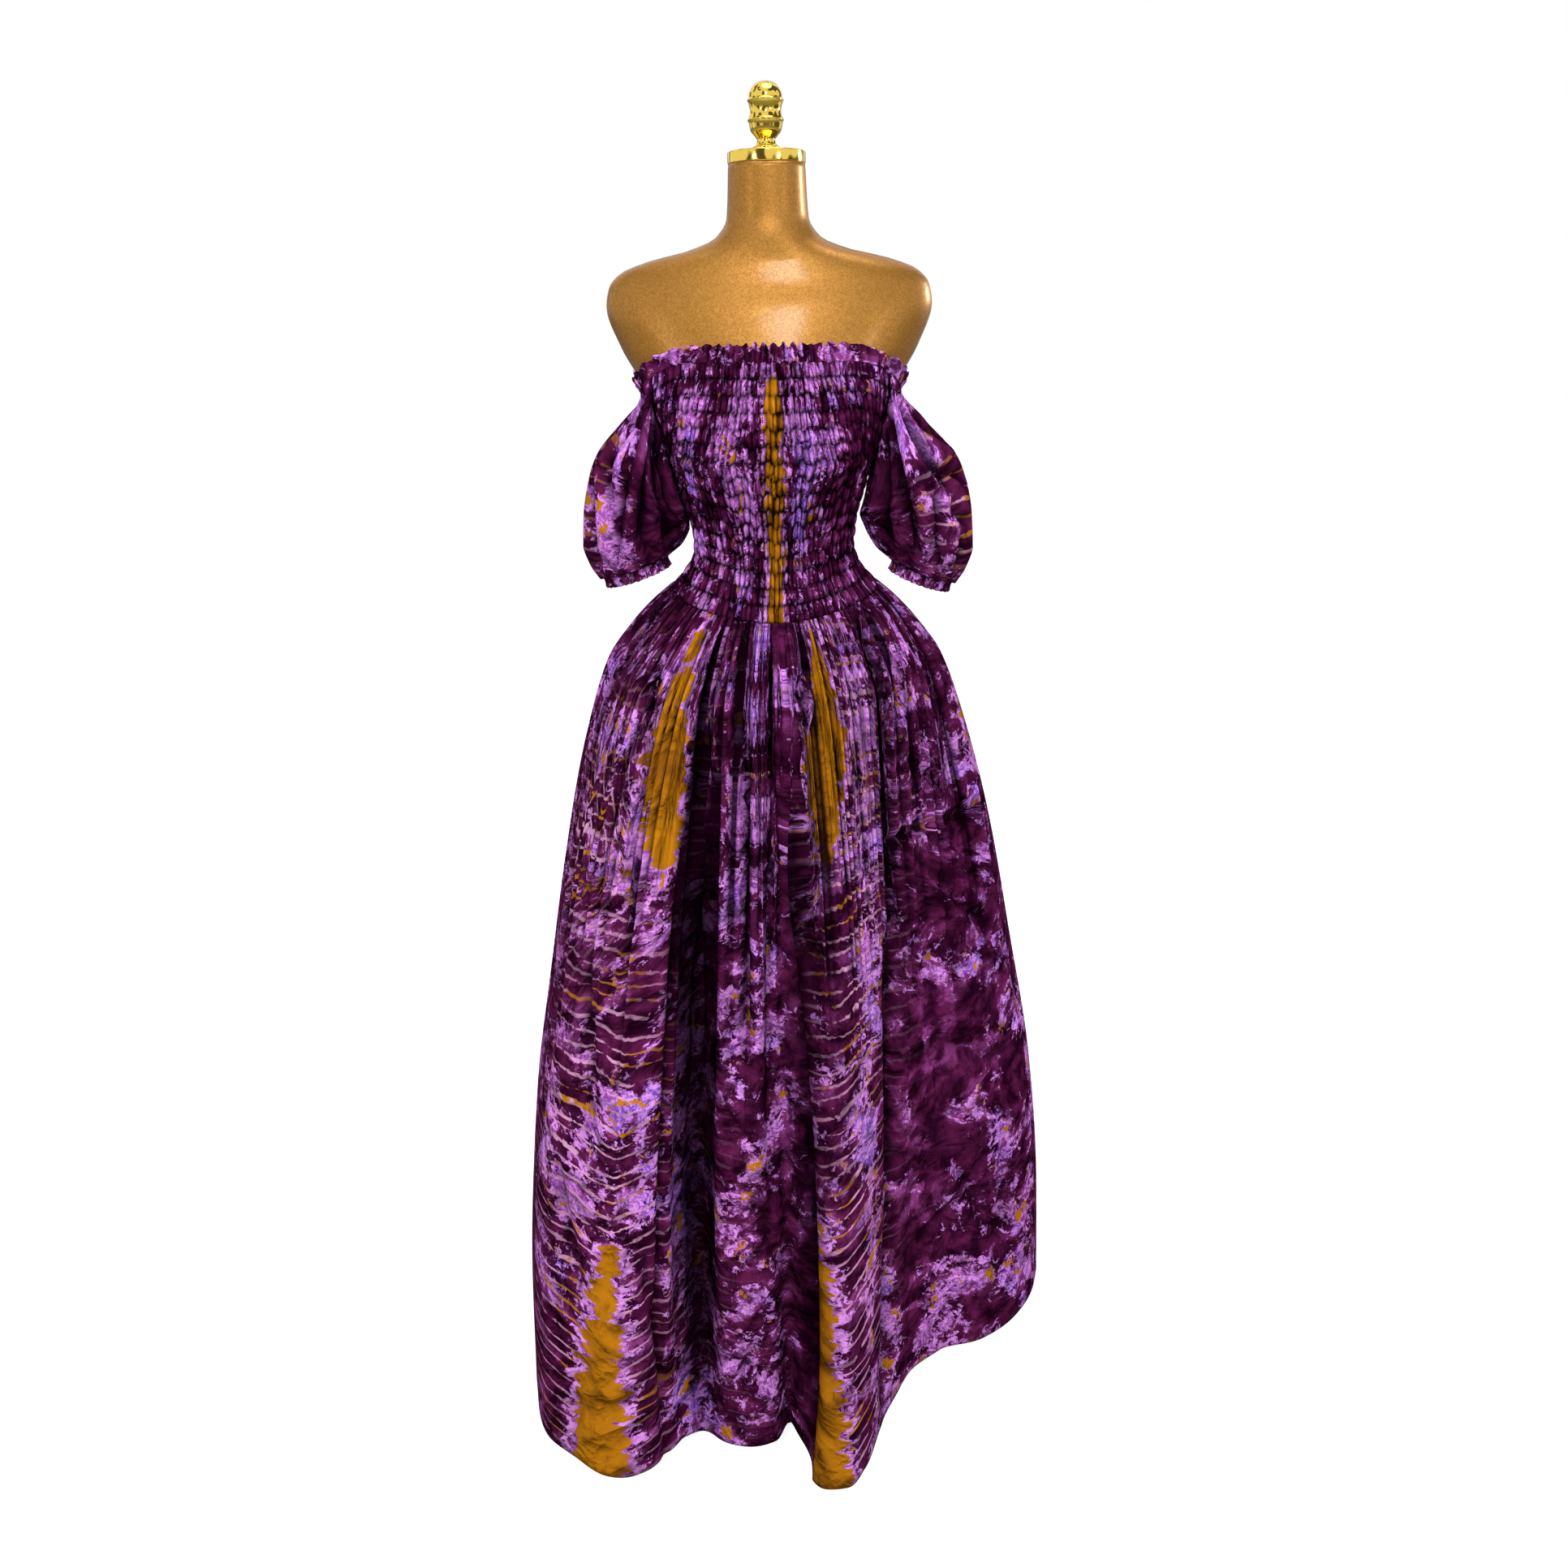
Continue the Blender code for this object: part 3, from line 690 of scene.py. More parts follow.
@dataclass(frozen=True)
class Crease:
    """A soft trough, or a ridge where the depth is below 0, laid on a cloth.

    Attributes:
        from_across, from_along: where it starts on the flat cloth, in metres.
        to_across, to_along: where it ends.
        depth: how deep it is in the middle.
        width: the distance at which it has mostly faded.
        lean: how much steeper one flank is, from -1 to 1.
        open_start: whether it keeps its depth at its start.
    """

    from_across: float
    from_along: float
    to_across: float
    to_along: float
    depth: float
    width: float
    lean: float = 0.0
    open_start: bool = False

    def relief(self, flat: np.ndarray) -> np.ndarray:
        """How far the crease moves the cloth outwards at each place.

        Formula: a bell across the crease, tilted by its lean, times a fade over its first quarter and its
        last third.

        Args:
            flat: places on the flat cloth.

        Returns:
            Distances outwards, in metres.
        """
        start = np.array([self.from_across, self.from_along])
        run = np.array([self.to_across, self.to_along]) - start
        length = np.hypot(*run)
        along = ((flat - start) @ run) / length**2
        off = ((flat - start) @ np.array([-run[1], run[0]])) / length / self.width
        fade = ease_in_out((1 - along) * 3)
        if not self.open_start:
            fade = fade * ease_in_out(along * 4)
        bell = np.exp(-(off**2)) * (1 + self.lean * off)
        return -self.depth * bell * fade


def creased(flat: np.ndarray, rows: tuple[tuple[float, ...], ...]) -> np.ndarray:
    """How far a table's creases together move the cloth outwards, from rows of their values in order."""
    return sum((Crease(*row).relief(flat) for row in rows), np.zeros(flat.shape[:-1]))


@dataclass(frozen=True)
class OchreMark:
    """A long ochre mark, where the cloth was bound before the later baths.

    Attributes:
        top, bottom: across and along the flat cloth, in metres, at its two ends.
        half_width: metres, at its widest.
        belly: where it is widest, as a share of its length from the top.
        taper: how slowly it swells above the belly, 0 for an even stripe.
        slant: how much the bindings beside it rise, for each metre away from it.
    """

    top: tuple[float, float]
    bottom: tuple[float, float]
    half_width: float
    belly: float = 0.5
    taper: float = 1.5
    slant: float = 0.28

    def off_axis(self, flat: np.ndarray) -> tuple[np.ndarray, np.ndarray]:
        """Where each place lies beside the mark's axis.

        Args:
            flat: places on the flat cloth.

        Returns:
            Distances from the axis, and shares of the mark's length, which run past 0 and 1.
        """
        share = (self.top[1] - flat[..., 1]) / (self.top[1] - self.bottom[1])
        axis = self.top[0] + (self.bottom[0] - self.top[0]) * np.clip(share, -0.3, 1.3)
        return np.abs(flat[..., 0] - axis), share

    def edge(self, flat: np.ndarray) -> np.ndarray:
        """Distance inside the mark's edge, below 0 outside.

        Formula: the half width at that height, which swells from both ends to the belly, less the distance
        from the axis. Past an end, the distance past it is taken off as well.

        Args:
            flat: places on the flat cloth.

        Returns:
            Distances in metres.
        """
        off, share = self.off_axis(flat)
        inside = np.clip(share, 0, 1)
        upper = (inside / self.belly) ** self.taper
        lower = ((1 - inside) / (1 - self.belly)) ** (self.taper / 2)
        swell = np.where(inside < self.belly, upper, lower)
        past = np.abs(share - inside) * (self.top[1] - self.bottom[1])
        return self.half_width * swell - off - past


@dataclass(frozen=True)
class DyeCloud:
    """A soft patch where the cloth took more violet, or more plum where its weight is below 0.

    Attributes:
        across, along: its middle on the flat cloth, in metres.
        wide, tall: half its size across and along.
        weight: how strong it is.
    """

    across: float
    along: float
    wide: float
    tall: float
    weight: float

    def share(self, flat: np.ndarray) -> np.ndarray:
        """The patch's strength at each place: a bell in both directions."""
        off = (flat - np.array([self.across, self.along])) / np.array([self.wide, self.tall])
        return self.weight * np.exp(-(off**2).sum(axis=-1))


def patches(*rows: tuple[float, ...]) -> tuple[DyeCloud, ...]:
    """Dye clouds from a table, each from a row of its values in order."""
    return tuple(DyeCloud(*row) for row in rows)


@dataclass(frozen=True)
class DyeChart:
    """Where a cloth's dye marks lie.

    Attributes:
        marks: the long ochre marks.
        clouds: where there is more violet or more plum.
        ribs: where the bindings' level lines show.
        bricks: where upright lines cross them.
        slant_reach: metres from an ochre mark over which the lines rise.
        outside: what the edge of a mark counts as where none is near.
        least: a weight that keeps the mean of the marks' slants from dividing by nothing.
    """

    marks: tuple[OchreMark, ...] = ()
    clouds: tuple[DyeCloud, ...] = ()
    ribs: tuple[DyeCloud, ...] = ()
    bricks: tuple[DyeCloud, ...] = ()
    slant_reach: float = 0.10
    outside: float = -0.1
    least: float = 1e-3

    def read(self, flat: np.ndarray) -> dict[str, np.ndarray]:
        """Works out the marks that the material reads, at each place on the flat cloth.

        Args:
            flat: places on the flat cloth, in metres.

        Returns:
            Named values for every place.
        """
        edge = np.full(flat.shape[:-1], self.outside)
        lift = np.zeros(flat.shape[:-1])
        weight = np.full(flat.shape[:-1], self.least)
        for mark in self.marks:
            off, _ = mark.off_axis(flat)
            edge = np.maximum(edge, mark.edge(flat))
            near = np.exp(np.minimum(mark.edge(flat), 0) / self.slant_reach * 2)
            rise = self.slant_reach * (1 - np.exp(-off / self.slant_reach))
            lift = lift + near * mark.slant * rise
            weight = weight + near
        lift = lift / weight
        total = {"cloud": self.clouds, "rib_share": self.ribs, "brick": self.bricks}
        found = {
            name: sum((patch.share(flat) for patch in drawn), np.zeros(flat.shape[:-1]))
            for name, drawn in total.items()
        }
        found["ochre_edge"] = edge
        found["rib_height"] = flat[..., 1] - lift
        found["rib_share"] = np.clip(found["rib_share"], 0, 1)
        found["brick"] = np.clip(found["brick"], 0, 1)
        return found


@dataclass(frozen=True)
class Figure:
    """The general figure under the dress: the form's sections and the lines that the dress is cut to."""

    waist_front: float = 1.178
    waist_side: float = 1.205
    underarm: float = 1.372
    neckline_front: float = 1.489
    neckline_side: float = 1.444
    flat_angle: float = math.radians(50)
    raglan_angle: float = math.radians(66)
    armhole_roundness: float = 0.6
    ease: float = 0.0018
    armhole_ease: float = 0.0032
    armhole_ease_heights: tuple[float, float] = (1.345, 1.400)
    flare_front: float = 0.010
    flare_side: float = 0.022
    flare_tall: float = 0.060
    bust_angle: float = 0.55
    bust_height: float = 1.370
    bust_depth: float = 0.014
    bust_under_cloth: float = 0.011
    bust_width: float = 0.34
    bust_tall: float = 0.050
    squareness: float = 2.4
    # Height, half width, front depth, back depth
    sections: tuple[tuple[float, float, float, float], ...] = (
        (0.960, 0.148, 0.085, 0.104),
        (1.010, 0.158, 0.094, 0.116),
        (1.060, 0.156, 0.100, 0.115),
        (1.110, 0.144, 0.100, 0.102),
        (1.160, 0.125, 0.095, 0.086),
        (1.200, 0.108, 0.089, 0.074),
        (1.250, 0.0975, 0.083, 0.068),
        (1.283, 0.100, 0.085, 0.071),
        (1.330, 0.112, 0.092, 0.080),
        (1.370, 0.122, 0.097, 0.088),
        (1.410, 0.132, 0.097, 0.094),
        (1.459, 0.157, 0.091, 0.098),
        (1.505, 0.183, 0.080, 0.095),
        (1.551, 0.198, 0.068, 0.085),
        (1.573, 0.194, 0.061, 0.077),
        (1.589, 0.180, 0.057, 0.071),
        (1.603, 0.144, 0.054, 0.065),
        (1.614, 0.096, 0.053, 0.061),
        (1.628, 0.063, 0.052, 0.057),
        (1.650, 0.049, 0.049, 0.051),
        (1.708, 0.0455, 0.0455, 0.0455),
    )

    def radius(self, angle: np.ndarray, height: np.ndarray, bust_depth: float | None = None) -> np.ndarray:
        """The figure's radius: a rounded section at each height, and the bust.

        Formula: the section is a superellipse of the half width and the depth at that height, and the bust
        adds a bell in angle and height on each side.

        Args:
            angle: angles from the front.
            height: heights.
            bust_depth: how far the bust stands out, or the cloth's own if none is given.

        Returns:
            Radii in metres.
        """
        heights, half_width, front, back = np.array(self.sections).T
        wide = smooth_curve(height, heights, half_width)
        deep = np.where(
            np.cos(angle) > 0,
            smooth_curve(height, heights, front),
            smooth_curve(height, heights, back),
        )
        power = self.squareness
        section = np.abs(np.sin(angle) / wide) ** power + np.abs(np.cos(angle) / deep) ** power
        turned = np.arctan2(np.sin(angle), np.cos(angle))
        bust = np.exp(-(((np.abs(turned) - self.bust_angle) / self.bust_width) ** 2))
        bust = bust * np.exp(-(((height - self.bust_height) / self.bust_tall) ** 2))
        depth = self.bust_depth if bust_depth is None else bust_depth
        return section ** (-1 / power) + depth * bust

    def waist(self, angle: np.ndarray) -> np.ndarray:
        """Height of the waist seam, which dips at the front and the back."""
        return self.waist_front + (self.waist_side - self.waist_front) * np.sin(angle) ** 2

    def neckline(self, angle: np.ndarray) -> np.ndarray:
        """Height of the neckline, level across the front and lower over the arm.

        Args:
            angle: angles from the front.

        Returns:
            Heights in metres.
        """
        side = np.arcsin(np.clip(np.abs(np.sin(angle)), 0, 1))
        share = (side - self.flat_angle) / (math.pi / 2 - self.flat_angle)
        return self.neckline_front + (self.neckline_side - self.neckline_front) * ease_in_out(share)

    def cloth_ease(self, angle: np.ndarray, height: np.ndarray) -> np.ndarray:
        """How far the dress lies off the figure: looser round the arms, flared above the skirt's gathers.

        Args:
            angle: angles from the front.
            height: heights.

        Returns:
            Distances in metres.
        """
        low, high = self.armhole_ease_heights
        flare = self.flare_front + (self.flare_side - self.flare_front) * np.sin(angle) ** 2
        rise = np.clip((height - self.waist(angle)) / self.flare_tall, 0, 1)
        loose = self.armhole_ease * ease_in_out((height - low) / (high - low))
        return self.ease + loose + flare * (1 - rise) ** 2

    def cloth_radius(self, angle: np.ndarray, height: np.ndarray) -> np.ndarray:
        """Radius of the dress's inside."""
        return self.radius(angle, height) + self.cloth_ease(angle, height)

    def panel_half_angle(self, height: np.ndarray) -> np.ndarray:
        """Half the angle that a bodice panel covers: to the side seam, then to the armhole's edge.

        Args:
            height: heights.

        Returns:
            Angles.
        """
        top = self.neckline(np.array(self.raglan_angle))
        share = np.clip((height - self.underarm) / (top - self.underarm), 0, 1)
        cut = (math.pi / 2 - self.raglan_angle) * share**self.armhole_roundness
        return (math.pi / 2 - cut) * (1 - SEAM_SHARE)


@dataclass
class DressForm:
    """The limbless form: torso, neck cap, finial, pole and base."""

    figure: Figure
    paint: bpy.types.Material
    plate: bpy.types.Material
    bottom: float = 0.960
    top: float = 1.708
    columns: int = 160
    rows: int = 150
    cap_radius: float = 0.046
    cap_top: float = 1.722
    cap_edge: float = 0.0015
    cap_edge_steps: int = 7
    # Rings within the cap's faces and the torso's ends, as shares of their radius
    cap_flat: float = 0.8
    closing_rings: tuple[float, ...] = (0.97, 0.6, 0.02)
    turned_steps: int = 96
    profile_steps: int = 140
    least_radius: float = 0.00005
    # Radius, height
    finial: tuple[tuple[float, float], ...] = (
        (0.0000, 1.7980),
        (0.0085, 1.7962),
        (0.0150, 1.7915),
        (0.0190, 1.7845),
        (0.0200, 1.7790),
        (0.0213, 1.7770),
        (0.0200, 1.7745),
        (0.0182, 1.7655),
        (0.0200, 1.7585),
        (0.0213, 1.7560),
        (0.0200, 1.7535),
        (0.0182, 1.7450),
        (0.0135, 1.7390),
        (0.0108, 1.7350),
        (0.0120, 1.7300),
        (0.0162, 1.7265),
        (0.0160, 1.7223),
        (0.0000, 1.7223),
    )

    def build(self) -> None:
        """Builds and dresses every piece of the form."""
        self.torso()
        self.neck_cap()
        self.turned("finial_turned", self.rounded(self.finial), "finial")
        for node in ("pole", "base"):
            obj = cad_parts[node]
            obj.data.materials.clear()
            obj.data.materials.append(self.plate)

    def torso(self) -> None:
        """Makes the torso as one smooth skin, closed at both ends but for a pinhole."""
        angle = np.arange(self.columns) * math.tau / self.columns
        heights = np.linspace(self.bottom, self.top, self.rows)[:, None]
        radius = self.figure.radius(angle, heights, self.figure.bust_under_cloth)
        skin = around(radius, angle, heights)
        middle = skin * (0, 0, 1)
        low = [skin[:1] * share + middle[:1] * (1 - share) for share in self.closing_rings[::-1]]
        high = [skin[-1:] * share + middle[-1:] * (1 - share) for share in self.closing_rings]
        mesh = Surface(np.concatenate([*low, skin, *high]), closed=True).mesh("form_skin")
        piece = add_piece("form_skin", mesh, self.paint, Slot.PAINT)
        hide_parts("form_torso")

    def rounded(self, profile: tuple[tuple[float, float], ...]) -> np.ndarray:
        """Carries a smooth curve through a profile's points, read by the distance along it.

        Args:
            profile: radius and height of each point.

        Returns:
            Many more points, with the same ends.
        """
        table = np.array(profile)
        run = distance_along(table)
        at = np.linspace(0, run[-1], self.profile_steps)
        return np.stack([smooth_curve(at, run, column) for column in table.T], axis=1)

    def turned(self, name: str, profile: np.ndarray, node: str) -> None:
        """Turns a profile round the axis.

        Args:
            name: the piece's name.
            profile: radius and height of each point, from the top down.
            node: the solid that the piece stands for.
        """
        angle = np.arange(self.turned_steps) * math.tau / self.turned_steps
        radius, height = profile[::-1].T[..., None]
        skin = around(np.maximum(radius, self.least_radius), angle, height)
        mesh = Surface(skin, closed=True).mesh(name)
        piece = add_piece(name, mesh, self.plate, Slot.PLATE)
        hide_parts(node)

    def neck_cap(self) -> None:
        """Makes the turned disc with rolled edges that closes the neck."""
        edge = self.cap_edge
        low = self.top + GAP
        swing = np.linspace(0, math.pi / 2, self.cap_edge_steps)
        upper = np.stack([np.sin(swing), np.cos(swing)], axis=1) * edge
        upper += (self.cap_radius - edge, self.cap_top - edge)
        lower = np.stack([np.cos(swing), -np.sin(swing)], axis=1) * edge
        lower += (self.cap_radius - edge, low + edge)
        flat = self.cap_radius * self.cap_flat
        top = [[0, self.cap_top], [flat, self.cap_top]]
        profile = np.concatenate([top, upper, lower, [[flat, low], [0, low]]])
        self.turned("neck_cap_turned", profile, "neck_cap")


@dataclass
class Bodice:
    """The shirred bodice: two panels of ribs between rows of elastic, and the casing at the neckline."""

    figure: Figure
    cotton: bpy.types.Material
    ribs: int = 46
    columns_per_rib: int = 8
    shirring_rows: int = 16
    rows_per_shirring: int = 6
    cut_width: float = 1.00
    rib_relief: float = 0.0046
    row_waver: float = 0.16
    rib_zigzag: float = 0.25
    rib_drift: float = 0.16
    rib_lean: float = 0.14
    lean_reach: float = 0.55
    lean_from: float = 0.52
    settling_rounds: int = 6
    # Below 1 for a broad crest with a narrow groove
    rib_roundness: float = 0.7
    pinch_roundness: float = 0.6
    groove_height: float = 0.05
    # A rib's own height against the full one
    rib_mean: float = 0.70
    rib_swing: float = 0.45
    rib_least: float = 0.40
    # How much painted shade the grooves, the rows of elastic and the low ribs get
    groove_shade: float = 0.75
    elastic_shade: float = 1.10
    low_rib_shade: float = 0.30
    # The painted shade under the bust: metres below it, half its height, its angle, its width and how dark it
    # is
    under_bust: tuple[float, ...] = (0.060, 0.028, 0.60, 0.45, 0.32)
    shown_width: float = 0.46
    cut_length: float = 0.330
    wall: float = 0.0010
    # The dye's own lean and width against the cut's, and how far its marks jump from rib to rib
    dye_lean: float = 1.4
    dye_width: float = 0.80
    place_jump: float = 0.011
    cloud_jump: float = 0.30
    edge_jump: float = 0.007
    casing_gathers: int = 84
    casing_columns_per_gather: int = 8
    casing_steps: int = 14
    casing_height: float = 0.018
    casing_overlap: float = 0.0020
    casing_wave: float = 0.0011
    casing_groove: float = 0.0016
    casing_over_arm: float = 0.6
    casing_swing: float = 0.3
    casing_unevenness: float = 0.5
    # How dark the painted shade in the casing's gather grooves is
    casing_shade: float = 0.55
    casing_cut: tuple[float, float] = (1.20, 0.020)
    # Share of the casing's height, distance out, half height of a gather
    casing_rows: tuple[tuple[float, float, float], ...] = (
        (0.00, 0.0041, 0.0007),
        (0.22, 0.0048, 0.0016),
        (0.42, 0.0044, 0.0018),
        (0.55, 0.0044, 0.0018),
        (0.80, 0.0054, 0.0024),
        (1.00, 0.0034, 0.0024),
    )

    def build(self) -> None:
        """Builds both panels and the casing."""
        for face in Face:
            self.panel(face)
        self.casing()

    def places(self, across: np.ndarray, up: np.ndarray) -> tuple[np.ndarray, np.ndarray]:
        """Angle and height on a panel.

        Formula: the height runs from the waist seam to the neckline at that angle, and the angle is the
        panel's half angle at that height. The two are settled by going round a few times.

        Args:
            across: from -1 to 1.
            up: from 0 to 1.

        Returns:
            Angles and heights.
        """
        angle = across * math.pi / 2
        height = up
        for _ in range(self.settling_rounds):
            bottom = self.figure.waist(angle)
            height = bottom + up * (self.figure.neckline(angle) - bottom)
            angle = across * self.figure.panel_half_angle(height)
        return angle, height

    def puff(self, across: np.ndarray, up: np.ndarray, seed: int) -> tuple[np.ndarray, ...]:
        """How far the ribs stand out of the wall, how much painted shade each place gets, and which rib it's
        on.

        Formula: each rib is a raised cosine across, pinched at every row of elastic. The rows waver, the ribs
        swing a little from row to row and drift along them, and each has its own height. Painted shade
        darkens the grooves, the rows of elastic and the low ribs.

        Args:
            across: from -1 to 1.
            up: from 0 to 1.
            seed: which panel.

        Returns:
            Distances outwards in metres, painted shade from 0 to 1, ribs counted from the left, rows from
            below.
        """
        # Rows of elastic, steady at the waist seam and the neckline
        steady = 4 * up * (1 - up)
        level = up * self.shirring_rows + steady * self.row_waver * wobble(across / 2, seed + 9, 11)
        row = np.floor(np.clip(level, 0, self.shirring_rows - 1e-6))
        pinch = np.abs(np.sin(math.pi * level)) ** self.pinch_roundness
        # Ribs, straight at the side seams and lower beside them
        zigzag = self.rib_zigzag * np.sin(row * 2.4 + 7 * across + seed)
        swing = zigzag + self.rib_drift * wobble(across / 2 + 0.13 * row, seed, 13)
        swing = swing * ease_in_out((1 - np.abs(across)) * 12)
        rib = (across + 1) / 2 * self.ribs + swing + self.lean(across, up) * self.ribs
        place = (np.floor(rib) + 0.31 * row * self.ribs) / self.ribs * 3
        own = self.rib_mean + self.rib_swing * wobble(place, seed + 5, 17)
        crest = (0.5 - 0.5 * np.cos(math.tau * rib)) ** self.rib_roundness
        tall = RIB_RELIEF + (self.rib_relief - RIB_RELIEF) * ease_in_out((0.85 - np.abs(across)) * 5)
        raised = SHIRRED_RELIEF + (tall - SHIRRED_RELIEF) * pinch
        rounded = self.groove_height + (1 - self.groove_height) * crest
        out = raised * rounded * np.clip(own, self.rib_least, 1)
        # Painted shade in the grooves between ribs, along the elastic and on the low ribs
        tied = ease_in_out((1 - up) * 30) * ease_in_out(up * 30)
        shade = self.groove_shade * (1 - crest) ** 2.2 + self.elastic_shade * tied * (1 - pinch) ** 1.4
        shade = shade + self.low_rib_shade * (self.rib_mean - own)
        return out, np.clip(shade, 0, 1), np.floor(rib), row

    def lean(self, across: np.ndarray, up: np.ndarray) -> np.ndarray:
        """How far the ribs above the bust lean towards the middle, as a share of the panel's width."""
        bell = across * np.exp(-((across / self.lean_reach) ** 2)) * ease_in_out((1 - np.abs(across)) * 5)
        return -self.rib_lean * bell * ease_in_out((up - self.lean_from) / (1 - self.lean_from))

    def chart(self, face: Face) -> DyeChart:
        """Dye marks of a panel, on the flat cloth with its middle at 0.

        Args:
            face: which panel.

        Returns:
            The chart.
        """
        low, high = self.figure.waist_front, self.figure.neckline_front
        stripe = (OchreMark((0.008, high - 0.020), (0.008, low - 0.01), 0.034, 0.5, 0.05),)
        clouds = patches(
            (-0.120, high - 0.06, 0.050, 0.09, 0.70),
            (0.120, high - 0.08, 0.045, 0.11, 1.00),
            (0.115, low + 0.10, 0.040, 0.09, 0.70),
            (-0.105, low + 0.12, 0.035, 0.12, 0.60),
            (-0.300, high - 0.10, 0.090, 0.05, 0.45),
            (-0.330, low + 0.05, 0.080, 0.06, 0.30),
            (0.300, low + 0.13, 0.090, 0.09, -0.40),
            (0.050, low + 0.15, 0.020, 0.20, -0.50),
            (-0.045, low + 0.15, 0.020, 0.20, -0.40),
        )
        return DyeChart(marks=stripe if face is Face.FRONT else (), clouds=clouds)

    def panel(self, face: Face) -> None:
        """Makes one shirred panel.

        Args:
            face: which panel.
        """
        across = np.linspace(-1, 1, self.ribs * self.columns_per_rib + 1)
        up = np.linspace(0, 1, self.shirring_rows * self.rows_per_shirring + 1)
        across, up = np.meshgrid(across, up)
        angle, height = self.places(across, up)
        out, shade, rib, row = self.puff(across, up, 1 if face is Face.FRONT else 2)
        if face is Face.FRONT:
            # Painted shade on the cloth under the bust
            below, tall, beside, wide, dark = self.under_bust
            under = np.exp(-(((height - self.figure.bust_height + below) / tall) ** 2))
            shade = shade + dark * under * np.exp(-(((np.abs(angle) - beside) / wide) ** 2))
        radius = self.figure.cloth_radius(angle + face.value, height) + BODICE_WALL + out
        points = around(radius, angle + face.value, height)
        leant = across + self.dye_lean * self.lean(across, up)
        flat = np.stack([leant * self.cut_width / 2, height], axis=-1)
        marks = self.chart(face).read(flat) | {"shade": shade}
        jump = np.stack([scattered(rib, 3), scattered(rib * 7 + row, 4)], axis=-1)
        dyed = flat * (self.dye_width, 1.0) + self.place_jump * jump
        marks["cloud"] = marks["cloud"] + self.cloud_jump * scattered(rib * 5 + row, 6)
        marks["ochre_edge"] = marks["ochre_edge"] + self.edge_jump * scattered(rib * 3 + row, 8)
        surface = Surface(points, dyed, marks=marks)
        cut = (self.shown_width, self.cut_length)
        add_cloth(f"bodice_{face.name.lower()}", surface, self.cotton, self.wall, cut)

    def casing(self) -> None:
        """Makes the gathered casing round the top, with its ruffled edge."""
        columns = self.casing_gathers * self.casing_columns_per_gather
        turns = np.arange(columns) / columns
        angle = turns * math.tau
        share = np.linspace(0, 1, self.casing_steps)[:, None]
        table = np.array(self.casing_rows).T
        out = smooth_curve(share, table[0], table[1])
        # Uneven gathers, shallower over the arms
        shallower = 1 - self.casing_over_arm * np.abs(np.sin(angle)) ** 6
        depth = smooth_curve(share, table[0], table[2]) * shallower
        swing = self.casing_swing * wobble(turns, 11, 13)
        wave = np.cos(math.tau * (turns * self.casing_gathers + swing))
        wave = wave + self.casing_unevenness * wobble(turns, 12, 41)
        lift = self.casing_wave * wobble(turns, 13, 47) * (1 + share)
        low = self.casing_overlap
        height = self.figure.neckline(angle) - low + (self.casing_height + low) * share + lift
        radius = self.figure.cloth_radius(angle, height) + out + wave * depth
        flat = unrolled(columns, self.casing_cut[0], np.append(height, height[:, :1], axis=1))
        clouds = patches(*((across, 1.49, 0.05, 0.03, 0.5) for across in (0.05, 0.35, 0.8, 1.2)))
        # Painted shade in the gathers' grooves, less where the gathers are shallow
        groove = np.clip(depth / self.casing_groove, 0.5, 1)
        shade = np.clip(self.casing_shade * (0.5 - 0.5 * wave) ** 2 * groove, 0, 1)
        marks = DyeChart(clouds=clouds).read(flat[:, :-1]) | {"shade": shade}
        surface = Surface(around(radius, angle, height), flat, True, marks)
        add_cloth("neckline_casing", surface, self.cotton, self.wall, self.casing_cut)


